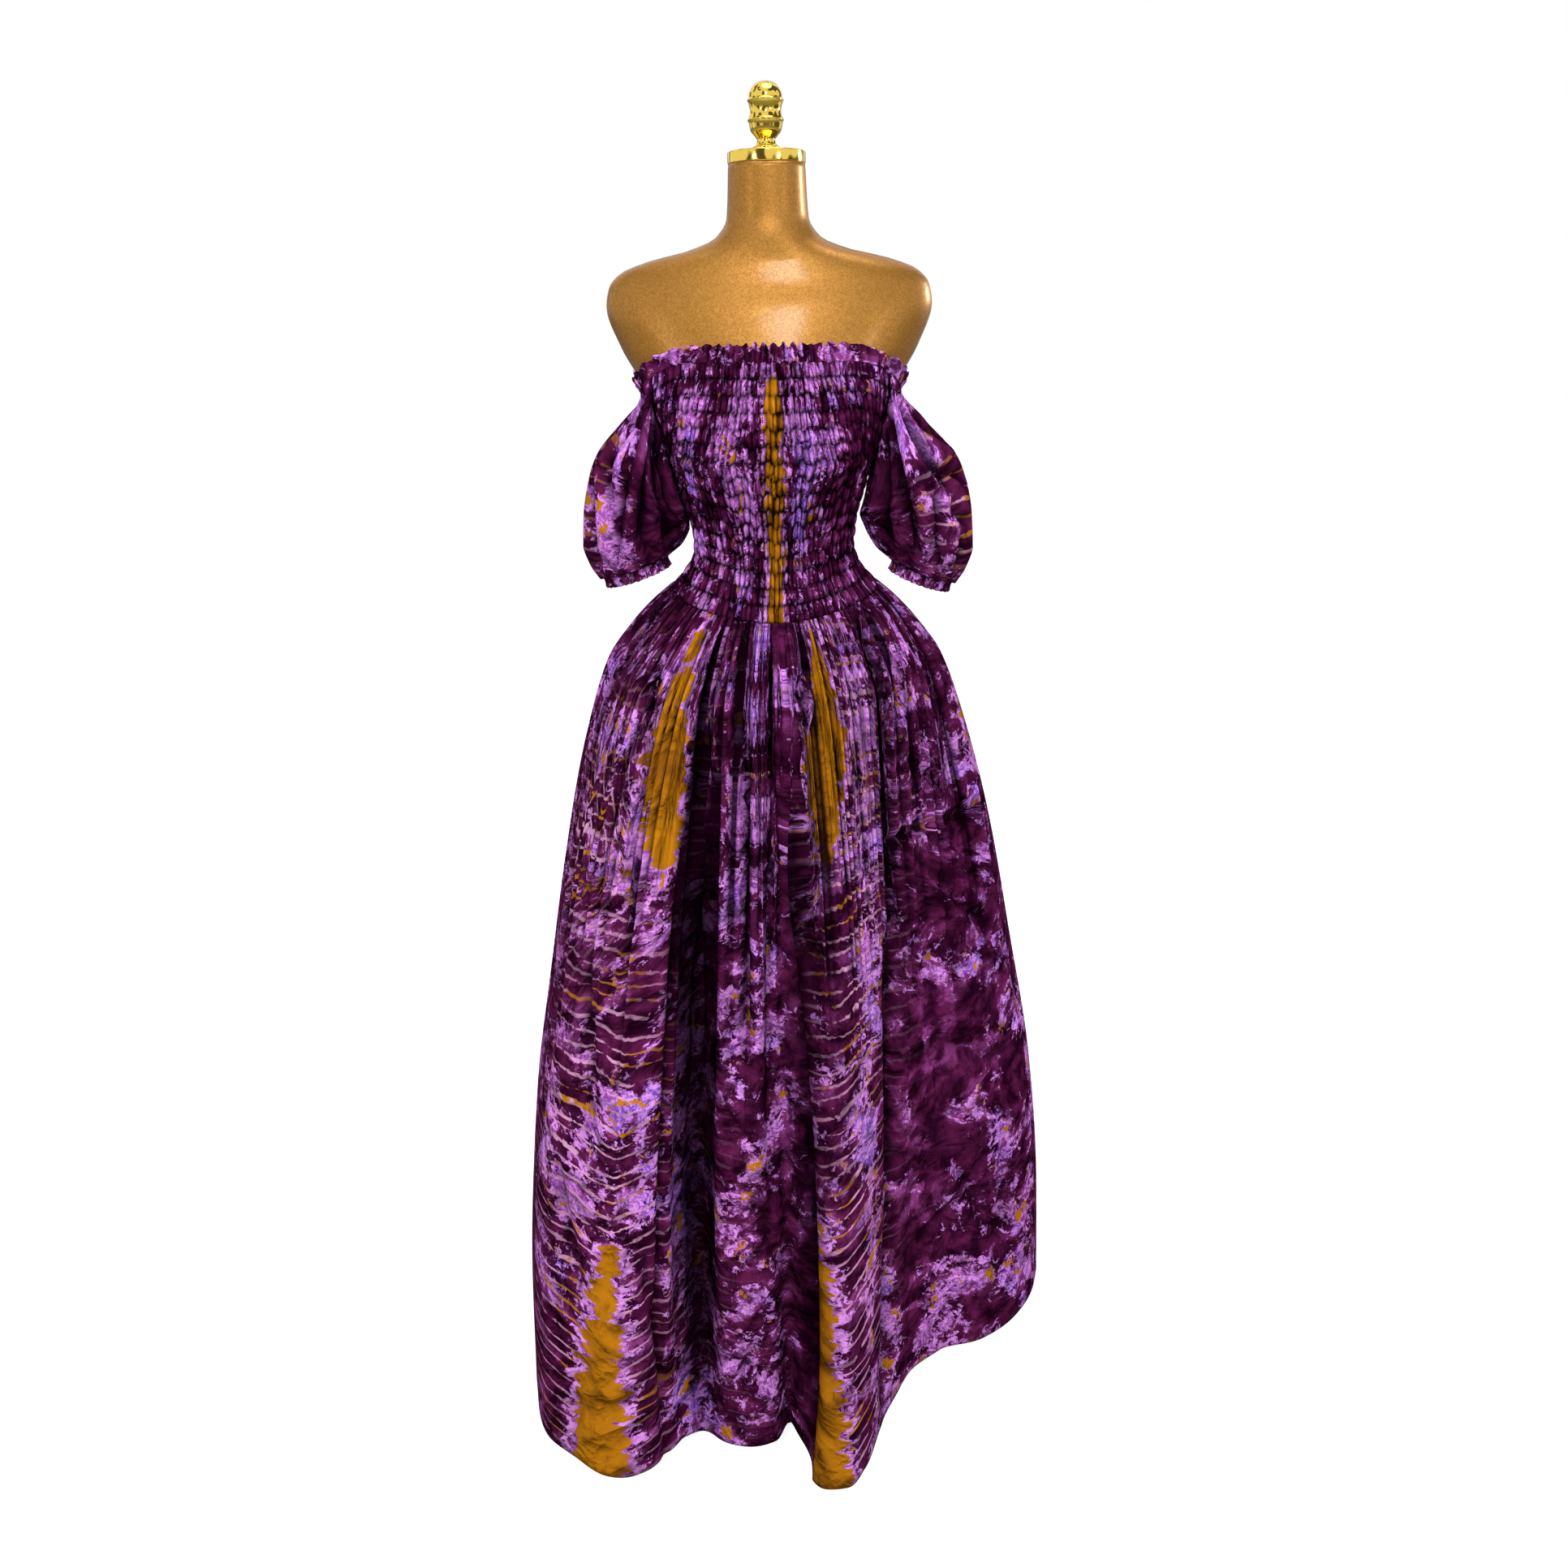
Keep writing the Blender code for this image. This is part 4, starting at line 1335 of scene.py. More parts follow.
@dataclass
class Sleeve:
    """A puff sleeve off the shoulder, gathered into an elastic cuff."""

    figure: Figure
    cotton: bpy.types.Material
    side: Side
    columns: int = 196
    rows: int = 78
    waves: int = 14
    wall: float = 0.0009
    neckline_x: float = 0.163
    cut_width: float = 0.50
    cut_length: float = 0.25
    cut_top: float = 1.44
    # How full and how long the left sleeve is against the rings, and how much nearer the body its cuff is
    left_fit: tuple[float, float, float] = (0.88, 0.92, 0.016)
    crease_clearance: float = 0.0065
    seam_share: float = 0.06
    # Crease depth at which the painted shade in a trough is full, and how dark it gets at most
    dark_depth: float = 0.015
    darkest: float = 0.95
    gather_swing: float = 0.7
    cuff_swing: float = 0.8
    # The share of its own shape from which a ring has this side's full length
    fitted_from: float = 0.3
    cuff_steps: int = 12
    cuff_top: float = 1.17
    cuff_cut: tuple[float, float] = (0.42, 0.016)
    # Outer side x and height, inner side x and height, half depth, share of the ring's own shape, wave
    rings: tuple[tuple[float, ...], ...] = (
        (0.163, 1.444, 0.126, 1.372, 0.070, 0.00, 0.0010),
        (0.170, 1.430, 0.125, 1.350, 0.082, 0.30, 0.0022),
        (0.194, 1.412, 0.121, 1.328, 0.089, 0.70, 0.0024),
        (0.228, 1.378, 0.116, 1.308, 0.092, 1.00, 0.0016),
        (0.245, 1.343, 0.112, 1.294, 0.091, 1.00, 0.0010),
        (0.254, 1.298, 0.117, 1.281, 0.085, 1.00, 0.0014),
        (0.256, 1.256, 0.126, 1.264, 0.074, 1.00, 0.0026),
        (0.248, 1.226, 0.137, 1.248, 0.060, 1.00, 0.0030),
        (0.236, 1.204, 0.150, 1.236, 0.047, 1.00, 0.0018),
    )
    # Distance below the sleeve, share of the sleeve's last ring, half height of a wave
    cuff_rings: tuple[tuple[float, float, float], ...] = (
        (-0.0040, 0.965, 0.0016),
        (0.0060, 0.85, 0.0020),
        (0.0150, 0.86, 0.0030),
    )
    # From across and along, to across and along, depth, width, lean, whether it is open at its start
    left_creases: tuple[tuple[float, ...], ...] = (
        (0.070, 1.430, 0.060, 1.220, 0.016, 0.026),
        (0.115, 1.440, 0.095, 1.220, 0.020, 0.010, 0.6),
        (0.075, 1.400, 0.045, 1.260, -0.010, 0.009),
        (0.148, 1.430, 0.146, 1.205, 0.024, 0.010, -0.6),
        (0.165, 1.400, 0.200, 1.330, 0.013, 0.007, 0.4),
        (0.185, 1.360, 0.160, 1.290, 0.012, 0.008, -0.4),
        (0.205, 1.320, 0.175, 1.210, 0.015, 0.009, 0.4),
        (0.120, 1.330, 0.112, 1.240, 0.012, 0.008),
        (0.230, 1.400, 0.240, 1.240, 0.012, 0.012, 0.4),
        (0.300, 1.420, 0.310, 1.260, 0.013, 0.012),
        (0.360, 1.420, 0.345, 1.240, 0.014, 0.012, 0.5),
        (0.420, 1.400, 0.430, 1.260, 0.010, 0.010),
    )
    right_creases: tuple[tuple[float, ...], ...] = (
        (0.060, 1.430, 0.055, 1.220, 0.014, 0.024),
        (0.100, 1.440, 0.112, 1.220, 0.022, 0.011, -0.6),
        (0.145, 1.430, 0.180, 1.290, 0.018, 0.009, 0.5),
        (0.160, 1.330, 0.134, 1.215, 0.018, 0.009, -0.5),
        (0.180, 1.390, 0.230, 1.350, 0.013, 0.007, 0.4),
        (0.170, 1.345, 0.225, 1.310, 0.012, 0.007, 0.4),
        (0.165, 1.300, 0.215, 1.270, 0.012, 0.007, 0.4),
        (0.190, 1.270, 0.180, 1.205, 0.014, 0.008),
        (0.250, 1.400, 0.245, 1.240, 0.012, 0.012, 0.4),
        (0.310, 1.420, 0.300, 1.260, 0.013, 0.012),
        (0.365, 1.420, 0.375, 1.240, 0.014, 0.012, 0.5),
        (0.425, 1.400, 0.415, 1.260, 0.010, 0.010),
    )

    def fit(self) -> tuple[float, float, float]:
        """How full and how long the sleeve is against the table, and how much nearer the body its cuff is."""
        return self.left_fit if self.side is Side.LEFT else (1.0, 1.0, 0.0)

    def turns(self) -> np.ndarray:
        """Positions round the sleeve from its seam on the inner side, over the front."""
        return (np.arange(self.columns) / self.columns + 0.75) % 1

    def armhole(self, turns: np.ndarray) -> tuple[np.ndarray, np.ndarray]:
        """Angle and height round the armhole: along the neckline over the arm, then round the underarm.

        Args:
            turns: position round the sleeve, from the front over the outer side.

        Returns:
            Angles and heights.
        """
        figure = self.figure
        sweep = np.where(turns < 0.5, 1 - 4 * turns, 4 * turns - 3)
        angle = math.pi / 2 - (math.pi / 2 - figure.raglan_angle) * sweep
        rise = figure.neckline(np.array(figure.raglan_angle)) - figure.underarm
        under = figure.underarm + rise * np.abs(sweep) ** (1 / figure.armhole_roundness)
        return angle, np.where(turns <= 0.5, figure.neckline(angle), under)

    def skin(self, turns: np.ndarray, share: np.ndarray) -> np.ndarray:
        """The sleeve's outer face.

        Formula: each ring is an ellipse between its outer and inner side, eased from the armhole's own loop,
        waved along its normal, and pushed out where it would enter the bodice.

        Args:
            turns: position round the sleeve, from the front over the outer side.
            share: position along it, from 0 at the armhole to 1 at the cuff.

        Returns:
            Points.
        """
        # The rings, fitted to this side
        fuller, longer, nearer = self.fit()
        knots = np.linspace(0, 1, len(self.rings))
        columns = [smooth_curve(share, knots, column) for column in np.array(self.rings).T]
        outer_x, outer_z, inner_x, inner_z, half_depth, own, depth = columns
        under = self.figure.underarm
        stretch = np.where(own > 0, 1 - (1 - longer) * np.minimum(own / self.fitted_from, 1), 1)
        outer_z = under - (under - outer_z) * stretch
        inner_z = under - (under - inner_z) * stretch
        outer_x = self.neckline_x + (outer_x - self.neckline_x) * fuller
        drop = under - self.rings[-1][3]
        inner_x = inner_x - nearer * ease_in_out((under - inner_z) / drop)
        swing = math.tau * turns
        x = (outer_x + inner_x) / 2 + (outer_x - inner_x) / 2 * np.sin(swing)
        z = (outer_z + inner_z) / 2 + (outer_z - inner_z) / 2 * np.sin(swing)
        y = -half_depth * np.cos(swing)
        own_shape = np.stack(np.broadcast_arrays(x, y, z), axis=-1)
        # The armhole's loop, from which they are eased
        angle, height = self.armhole(turns)
        seat = BODICE_WALL + SHIRRED_RELIEF + SLEEVE_WALL
        loop = around(self.figure.cloth_radius(angle, height) + seat, angle, height)
        points = loop * (1 - own[..., None]) + own_shape * own[..., None]
        # Gathers, and the gap to the bodice
        outwards = points - points.mean(axis=1, keepdims=True)
        outwards = outwards / np.linalg.norm(outwards, axis=-1, keepdims=True)
        wave = -np.cos(math.tau * turns * self.waves + self.gather_swing * wobble(turns, 21, 3))
        points = points + outwards * (wave * depth)[..., None]
        clear = BODICE_WALL + RIB_RELIEF + SLEEVE_WALL + 2 * GAP
        least = seat + (clear - seat) * np.clip(share * (len(self.rings) - 1), 0, 1)
        return self.clear_of_body(points, least)

    def clear_of_body(self, points: np.ndarray, out: np.ndarray | float) -> np.ndarray:
        """Moves points that lie nearer the figure than a distance, straight out from its axis.

        Args:
            points: the sleeve's points.
            out: the least distance.

        Returns:
            The points, clear of the figure.
        """
        x, y, z = np.moveaxis(points, -1, 0)
        radius, angle = np.hypot(x, y), np.arctan2(x, -y)
        return around(np.maximum(radius, self.figure.cloth_radius(angle, z) + out), angle, z)

    def worn(self, surface: Surface) -> Surface:
        """Puts a surface made for the right on this side, with its faces still pointing out.

        Args:
            surface: a surface as it is on the right.

        Returns:
            The same, or its mirror image with the columns turned round.
        """
        if self.side is Side.RIGHT:
            return surface
        marks = {mark: values[:, ::-1] for mark, values in surface.marks.items()}
        return Surface((surface.points * (-1, 1, 1))[:, ::-1], surface.flat[:, ::-1], True, marks)

    def chart(self) -> DyeChart:
        """Dye marks of the sleeve, on its flat cloth from the inner side over the front.

        Returns:
            The chart.
        """
        if self.side is Side.LEFT:
            clouds = patches(
                (0.190, 1.390, 0.030, 0.040, 0.70),
                (0.200, 1.300, 0.035, 0.040, 0.80),
                (0.150, 1.240, 0.035, 0.030, 0.95),
                (0.165, 1.300, 0.012, 0.060, 0.60),
                (0.075, 1.330, 0.040, 0.080, -0.80),
                (0.400, 1.300, 0.080, 0.060, 0.30),
            )
            return DyeChart(clouds=clouds, ribs=patches((0.210, 1.320, 0.035, 0.070, 0.60)))
        clouds = patches(
            (0.120, 1.390, 0.022, 0.050, 0.75),
            (0.105, 1.260, 0.030, 0.030, 0.55),
            (0.170, 1.350, 0.020, 0.030, 0.45),
            (0.210, 1.280, 0.040, 0.040, -0.30),
            (0.075, 1.330, 0.030, 0.070, -0.60),
            (0.400, 1.300, 0.080, 0.060, 0.30),
        )
        return DyeChart(clouds=clouds, ribs=patches((0.190, 1.290, 0.050, 0.070, 1.00)))

    def build(self) -> None:
        """Builds the sleeve and its cuff."""
        share = np.linspace(1, 0, self.rows)[:, None]
        skin = self.skin(self.turns()[None, :], share)
        flat = unrolled(self.columns, self.cut_width, self.cut_top - self.cut_length * share)
        # The creases, which fade out at the armhole and the cuff
        relief = creased(flat[:, :-1], self.left_creases if self.side is Side.LEFT else self.right_creases)
        relief = relief * ease_in_out(share * 5) * ease_in_out((1 - share) * 6)
        normal = Surface(skin, closed=True).normals()
        body = self.clear_of_body(skin + normal * relief[..., None], self.crease_clearance)
        points = np.where((share > self.seam_share)[..., None], body, skin)
        marks = self.chart().read(flat[:, :-1])
        # Painted shade in the creases' troughs
        marks["shade"] = np.clip(-relief / self.dark_depth, 0, 1) * self.darkest
        surface = self.worn(Surface(points, flat, True, marks))
        cut = (self.cut_width, self.cut_length)
        add_cloth(f"sleeve_{self.side.value}", surface, self.cotton, self.wall, cut)
        self.cuff(skin[0])

    def cuff(self, end: np.ndarray) -> None:
        """Makes the elastic cuff below the sleeve's last ring, with its small ruffle.

        Args:
            end: the sleeve's last ring.
        """
        table = np.array(self.cuff_rings).T
        knots = table[0]
        at = knots[0] + (knots[-1] - knots[0]) * np.linspace(0, 1, self.cuff_steps)[:, None]
        tight, depth = smooth_curve(at, knots, table[1]), smooth_curve(at, knots, table[2])
        turns = self.turns()
        wave = -np.cos(math.tau * turns * 2 * self.waves + self.cuff_swing * wobble(turns, 23, 5))
        middle = end.mean(axis=0)
        down = np.cross(end[0] - middle, end[len(end) // 4] - middle)
        down *= -np.sign(down[2]) / np.linalg.norm(down)
        outwards = (end - middle) / np.linalg.norm(end - middle, axis=1, keepdims=True)
        points = middle + (end - middle)[None] * tight[..., None]
        points = points + outwards[None] * (wave * depth)[..., None] + down * at[..., None]
        flat = unrolled(self.columns, self.cut_width, self.cuff_top - at)[::-1]
        marks = DyeChart(clouds=patches((0.1, 1.16, 0.05, 0.02, 0.4))).read(flat[:, :-1])
        surface = self.worn(Surface(points[::-1], flat, True, marks))
        add_cloth(f"cuff_{self.side.value}", surface, self.cotton, self.wall, self.cuff_cut)


@dataclass
class Skirt:
    """The gathered skirt, two panels from the waist seam to the hem."""

    figure: Figure
    cotton: bpy.types.Material
    columns: int = 331
    rows: int = 140
    gathers: int = 20
    gather_swing: float = 0.75
    gather_roundness: float = 0.55
    # A gather's own height against the table's: its mean, its change, the least and the most
    gather_heights: tuple[float, float, float, float] = (0.80, 0.70, 0.25, 1.35)
    wall: float = 0.0011
    half_width: float = 0.400
    hem_front: float = 0.315
    hem_back: float = 0.360
    cut_width: float = 1.40
    cut_length: float = 1.14
    # Crease depth at which the painted shade in a trough is full
    dark_depth: float = 0.034
    # The gather depth at which a groove's painted shade is full, and the share of the drop above which every
    # groove has it in full
    groove_depth: float = 0.0045
    groove_drop: float = 0.06
    # Columns lie evenly along the cloth at this share of the drop, found by this many steps
    even_drop: float = 0.8
    even_steps: int = 2001
    # Where the gathers' own pattern begins to fade down the cloth, and over how much of the drop
    gathered_drop: float = 0.34
    gathered_fade: float = 0.24
    # Share of the drop, share of the spread, fold depth, half height of a gather
    drops: tuple[tuple[float, float, float, float], ...] = (
        (0.000, 0.000, 0.00, 0.0022),
        (0.018, 0.085, 0.04, 0.0035),
        (0.045, 0.185, 0.10, 0.0055),
        (0.088, 0.310, 0.20, 0.0072),
        (0.177, 0.447, 0.40, 0.0066),
        (0.302, 0.595, 0.60, 0.0036),
        (0.470, 0.742, 0.74, 0.0012),
        (0.647, 0.882, 0.86, 0.0002),
        (0.823, 0.962, 0.95, 0.0000),
        (1.000, 1.000, 1.00, 0.0000),
    )
    # Angle in degrees, radius, height
    folds: tuple[tuple[float, float, float], ...] = (
        (-168, 0.385, 0.045),
        (-155, 0.325, 0.050),
        (-140, 0.395, 0.045),
        (-126, 0.365, 0.055),
        (-111, 0.412, 0.062),
        (-95, 0.400, 0.058),
        (-80, 0.396, 0.048),
        (-66, 0.408, 0.042),
        (-54, 0.424, 0.042),
        (-46, 0.412, 0.041),
        (-40, 0.405, 0.040),
        (-36, 0.392, 0.040),
        (-32, 0.362, 0.042),
        (-29, 0.303, 0.046),
        (-22, 0.288, 0.046),
        (-12, 0.284, 0.045),
        (-4, 0.270, 0.045),
        (0, 0.246, 0.050),
        (4, 0.332, 0.042),
        (8, 0.344, 0.040),
        (13, 0.346, 0.040),
        (18, 0.328, 0.042),
        (26, 0.288, 0.048),
        (36, 0.258, 0.052),
        (47, 0.245, 0.056),
        (60, 0.262, 0.056),
        (70, 0.312, 0.050),
        (80, 0.358, 0.048),
        (90, 0.394, 0.048),
        (100, 0.414, 0.050),
        (114, 0.378, 0.055),
        (128, 0.400, 0.048),
        (143, 0.330, 0.050),
        (158, 0.380, 0.045),
        (174, 0.315, 0.050),
    )
    # From across and along, to across and along, depth, width, lean, whether it is open at its start
    front_creases: tuple[tuple[float, ...], ...] = (
        (-0.450, 1.190, -0.325, 1.050, 0.014, 0.009, 0.6, True),
        (-0.330, 1.090, -0.300, 0.780, 0.017, 0.011, 0.7),
        (-0.200, 1.195, -0.165, 0.900, 0.016, 0.012, 0.3, True),
        (-0.205, 1.000, -0.200, -0.080, 0.013, 0.008, 0.6),
        (-0.145, 1.120, -0.128, -0.080, 0.050, 0.024, -0.4),
        (-0.100, 1.195, -0.060, 0.960, 0.012, 0.009, 0.0, True),
        (-0.066, 1.100, -0.058, 0.560, 0.016, 0.011, 0.4),
        (-0.010, 1.195, -0.010, 0.980, 0.012, 0.008, 0.0, True),
        (-0.010, 1.060, -0.020, 0.300, 0.012, 0.013, 0.3),
        (0.090, 1.100, 0.068, -0.080, 0.062, 0.044, 0.4),
        (0.130, 1.195, 0.086, 0.960, 0.014, 0.010, -0.4, True),
        (0.215, 1.195, 0.120, 1.000, 0.012, 0.009, -0.5, True),
        (0.330, 1.195, 0.340, 1.000, 0.012, 0.009, 0.0, True),
        (0.402, 1.180, 0.398, 0.720, 0.030, 0.014, -0.8, True),
        (0.398, 0.820, 0.335, 0.330, 0.026, 0.020, -0.7),
        (0.340, 0.420, 0.300, 0.020, 0.014, 0.022, -0.6),
        (0.424, 1.190, 0.480, 0.940, 0.013, 0.009, 0.3, True),
        (0.520, 1.195, 0.560, 1.010, 0.011, 0.009, 0.0, True),
        (0.390, 0.885, 0.520, 0.905, 0.010, 0.008, 0.5),
        (0.500, 0.905, 0.660, 0.880, 0.008, 0.008, 0.5),
        (0.430, 1.000, 0.570, 0.930, 0.007, 0.009, 0.4),
        (0.450, 0.860, 0.640, 0.700, 0.009, 0.010, 0.5),
        (0.430, 0.690, 0.560, 0.760, 0.006, 0.009, -0.4),
        (0.440, 0.590, 0.640, 0.500, 0.009, 0.010, 0.4),
        (0.400, 0.500, 0.520, 0.420, 0.007, 0.009, -0.4),
        (0.460, 0.420, 0.580, 0.200, 0.010, 0.012, 0.4),
        (0.360, 0.260, 0.560, 0.330, 0.008, 0.010, 0.4),
        (0.600, 0.420, 0.560, 0.160, 0.008, 0.012, 0.3),
        (-0.560, 1.195, -0.520, 1.000, 0.012, 0.009, 0.0, True),
        (-0.550, 1.080, -0.470, 0.500, 0.010, 0.016, 0.4),
        (-0.400, 0.800, -0.330, 0.560, 0.008, 0.012, 0.3),
        (-0.420, 0.520, -0.330, 0.300, 0.010, 0.013, 0.3),
        (-0.350, 0.230, -0.270, 0.130, 0.006, 0.008, 0.3),
        (-0.330, 0.150, -0.370, 0.060, 0.006, 0.007),
        (-0.240, 0.420, -0.190, 0.180, 0.009, 0.012),
        (-0.060, 0.480, 0.010, 0.300, 0.008, 0.010, 0.3),
        (-0.120, 0.200, 0.020, 0.150, 0.008, 0.008, 0.4),
        (-0.040, 0.240, -0.090, 0.120, 0.007, 0.008),
    )
    back_creases: tuple[tuple[float, ...], ...] = (
        (-0.34, 1.15, -0.30, 0.60, 0.022, 0.016, 0.4),
        (-0.14, 1.12, -0.17, 0.45, 0.026, 0.020, -0.4),
        (0.03, 1.13, 0.05, 0.70, 0.016, 0.012),
        (0.22, 1.14, 0.20, 0.35, 0.030, 0.022, 0.4),
        (0.42, 1.15, 0.45, 0.65, 0.018, 0.014, -0.3),
        (0.52, 0.92, 0.34, 0.86, 0.008, 0.009, 0.4),
        (-0.55, 1.10, -0.50, 0.50, 0.014, 0.014, 0.3),
        (-0.44, 1.195, -0.42, 0.96, 0.013, 0.009, 0.3, True),
        (-0.06, 1.195, -0.03, 0.98, 0.012, 0.009, 0.0, True),
        (0.33, 1.195, 0.31, 0.94, 0.014, 0.010, -0.4, True),
        (-0.24, 0.60, -0.26, -0.05, 0.030, 0.030, 0.4),
        (0.12, 0.66, 0.10, -0.08, 0.034, 0.032, -0.4),
        (0.46, 0.50, 0.48, -0.02, 0.022, 0.026),
        (-0.46, 0.42, -0.58, 0.22, 0.009, 0.010, 0.4),
        (-0.06, 0.36, 0.02, 0.20, 0.009, 0.009, 0.4),
        (0.28, 0.42, 0.38, 0.30, 0.008, 0.009, -0.4),
        (-0.38, 0.78, -0.28, 0.70, 0.008, 0.009, 0.4),
    )

    def hem(self, angle: np.ndarray, column: int) -> np.ndarray:
        """A column of the hem's table at any angle, smooth all the way round.

        Args:
            angle: angles from the front.
            column: 1 for the radius, 2 for the height.

        Returns:
            The column's values, in metres.
        """
        table = np.array(self.folds, float)
        turned = np.degrees(np.arctan2(np.sin(angle), np.cos(angle)))
        knots = np.concatenate([table[-2:, 0] - 360, table[:, 0], table[:2, 0] + 360])
        values = np.concatenate([table[-2:, column], table[:, column], table[:2, column]])
        return smooth_curve(turned, knots, values)

    def drape(self, angle: np.ndarray, drop: np.ndarray, face: Face) -> tuple[np.ndarray, ...]:
        """The skirt's outer face.

        Formula: the radius goes from the waist's to an even oval's by the spread, then towards the hem's
        folds by the fold depth. The gathers are broad ridges with narrow grooves, which fade down the cloth.

        Args:
            angle: angles from the front.
            drop: shares of the way from the waist seam to the hem.
            face: which panel.

        Returns:
            Points, the painted shade in each gather's groove, and how many gathers lie left of each angle.
        """
        table = np.array(self.drops).T
        spread, fold, gather = (smooth_curve(drop, table[0], column) for column in table[1:])
        top = self.figure.waist(angle) - GAP / 3
        waist = self.figure.cloth_radius(angle, top) + SKIRT_WALL + self.drops[0][3]
        deep = np.where(np.cos(angle) > 0, self.hem_front, self.hem_back)
        even = 1 / np.hypot(np.sin(angle) / self.half_width, np.cos(angle) / deep)
        # Gathers, which swing a little between the side seams and are each of their own height
        turns = (angle - face.value + SKIRT_HALF_ANGLE) / (2 * SKIRT_HALF_ANGLE)
        swing = self.gather_swing * wobble(turns, 31 + int(face.value), 9)
        swing = swing * ease_in_out(turns * 9) * ease_in_out(9 - turns * 9)
        gathers = turns * self.gathers + swing
        crest = (0.5 - 0.5 * np.cos(math.tau * gathers)) ** self.gather_roundness
        wave = 2 * crest - 1
        mean, change, least, most = self.gather_heights
        own = np.clip(mean + change * wobble(turns, 33, 17), least, most)
        # From the waist to the hem's folds
        radius = waist + (even - waist) * spread + (self.hem(angle, 1) - even) * fold
        radius = radius + wave * gather * own
        height = top + (self.hem(angle, 2) - top) * drop
        # Painted shade in the gathers' grooves, in full near the waist seam
        dark = np.clip(gather / self.groove_depth + (drop < self.groove_drop), 0, 1)
        groove = (1 - crest) ** 1.2 * dark * own
        return around(radius, angle, height), groove, gathers

    def build(self) -> None:
        """Builds both panels."""
        for face in Face:
            self.panel(face)

    def chart(self, face: Face) -> DyeChart:
        """Dye marks of a panel, on its flat cloth with its middle at 0.

        Args:
            face: which panel.

        Returns:
            The chart.
        """
        if face is Face.BACK:
            return self.back_chart()
        marks = (
            OchreMark((-0.305, 1.200), (-0.243, 0.880), 0.056, 0.58, 1.0, 0.10),
            OchreMark((0.240, 1.190), (0.188, 0.905), 0.060, 0.52, 0.9, -0.06),
            OchreMark((-0.287, 0.410), (-0.328, -0.250), 0.048, 0.50, 0.6),
            OchreMark((0.138, 0.440), (0.136, -0.250), 0.040, 0.50, 0.6),
            OchreMark((0.700, 1.130), (0.690, 0.930), 0.026, 0.50),
        )
        clouds = patches(
            (-0.620, 1.080, 0.070, 0.060, 0.55),
            (-0.600, 0.860, 0.060, 0.070, 0.20),
            (-0.318, 0.930, 0.014, 0.100, 1.10),
            (-0.250, 0.830, 0.030, 0.050, 0.55),
            (-0.345, 0.560, 0.040, 0.080, 0.60),
            (-0.400, 0.440, 0.028, 0.090, 0.55),
            (-0.240, 0.560, 0.022, 0.150, 0.75),
            (-0.165, 0.600, 0.020, 0.140, 0.70),
            (-0.155, 0.340, 0.020, 0.120, 0.70),
            (-0.063, 1.070, 0.025, 0.040, 0.80),
            (-0.080, 0.970, 0.030, 0.050, 0.60),
            (-0.086, 0.820, 0.020, 0.040, 0.50),
            (-0.030, 0.720, 0.028, 0.160, 0.70),
            (0.335, 0.980, 0.034, 0.140, 0.75),
            (0.300, 0.760, 0.032, 0.120, 0.75),
            (0.262, 0.560, 0.030, 0.110, 0.80),
            (0.245, 0.370, 0.030, 0.080, 0.50),
            (0.450, 1.100, 0.050, 0.060, 0.45),
            (0.620, 1.000, 0.050, 0.070, 0.50),
            (0.500, 0.720, 0.050, 0.080, 0.25),
            (0.570, 0.410, 0.050, 0.060, 0.35),
            (0.610, 0.150, 0.050, 0.040, 0.50),
            (0.320, 0.180, 0.035, 0.090, 0.65),
            (0.460, 0.110, 0.060, 0.040, 0.50),
            (-0.150, 0.140, 0.040, 0.050, 0.50),
            (-0.050, 0.150, 0.040, 0.060, 0.45),
            (-0.400, 0.720, 0.070, 0.070, -0.55),
            (-0.300, 0.700, 0.030, 0.080, -0.45),
            (-0.440, 0.170, 0.075, 0.130, -0.95),
            (-0.235, 0.220, 0.040, 0.140, -0.85),
            (0.200, 0.820, 0.028, 0.140, -0.80),
            (0.198, 0.300, 0.030, 0.180, -0.70),
            # Painted shade: more plum laid along the deep valley left of the right lobe, where shade falls
            (0.070, 0.480, 0.045, 0.320, -0.80),
            (0.480, 0.560, 0.110, 0.130, -0.75),
            (0.520, 0.850, 0.090, 0.080, -0.60),
            (0.400, 0.360, 0.060, 0.120, -0.50),
        )
        ribs = patches(
            (-0.460, 0.930, 0.130, 0.140, 0.90),
            (-0.170, 1.050, 0.035, 0.120, 0.80),
            (-0.340, 0.600, 0.130, 0.200, 1.00),
            (-0.320, 0.250, 0.150, 0.250, 1.00),
            (0.300, 1.050, 0.080, 0.130, 1.00),
            (0.260, 0.800, 0.100, 0.200, 1.00),
            (0.210, 0.400, 0.090, 0.250, 1.00),
            (0.180, 0.100, 0.070, 0.120, 0.80),
        )
        bricks = patches(
            (-0.450, 0.930, 0.110, 0.120, 1.00),
            (0.320, 0.900, 0.040, 0.160, 0.40),
        )
        return DyeChart(marks, clouds, ribs, bricks)

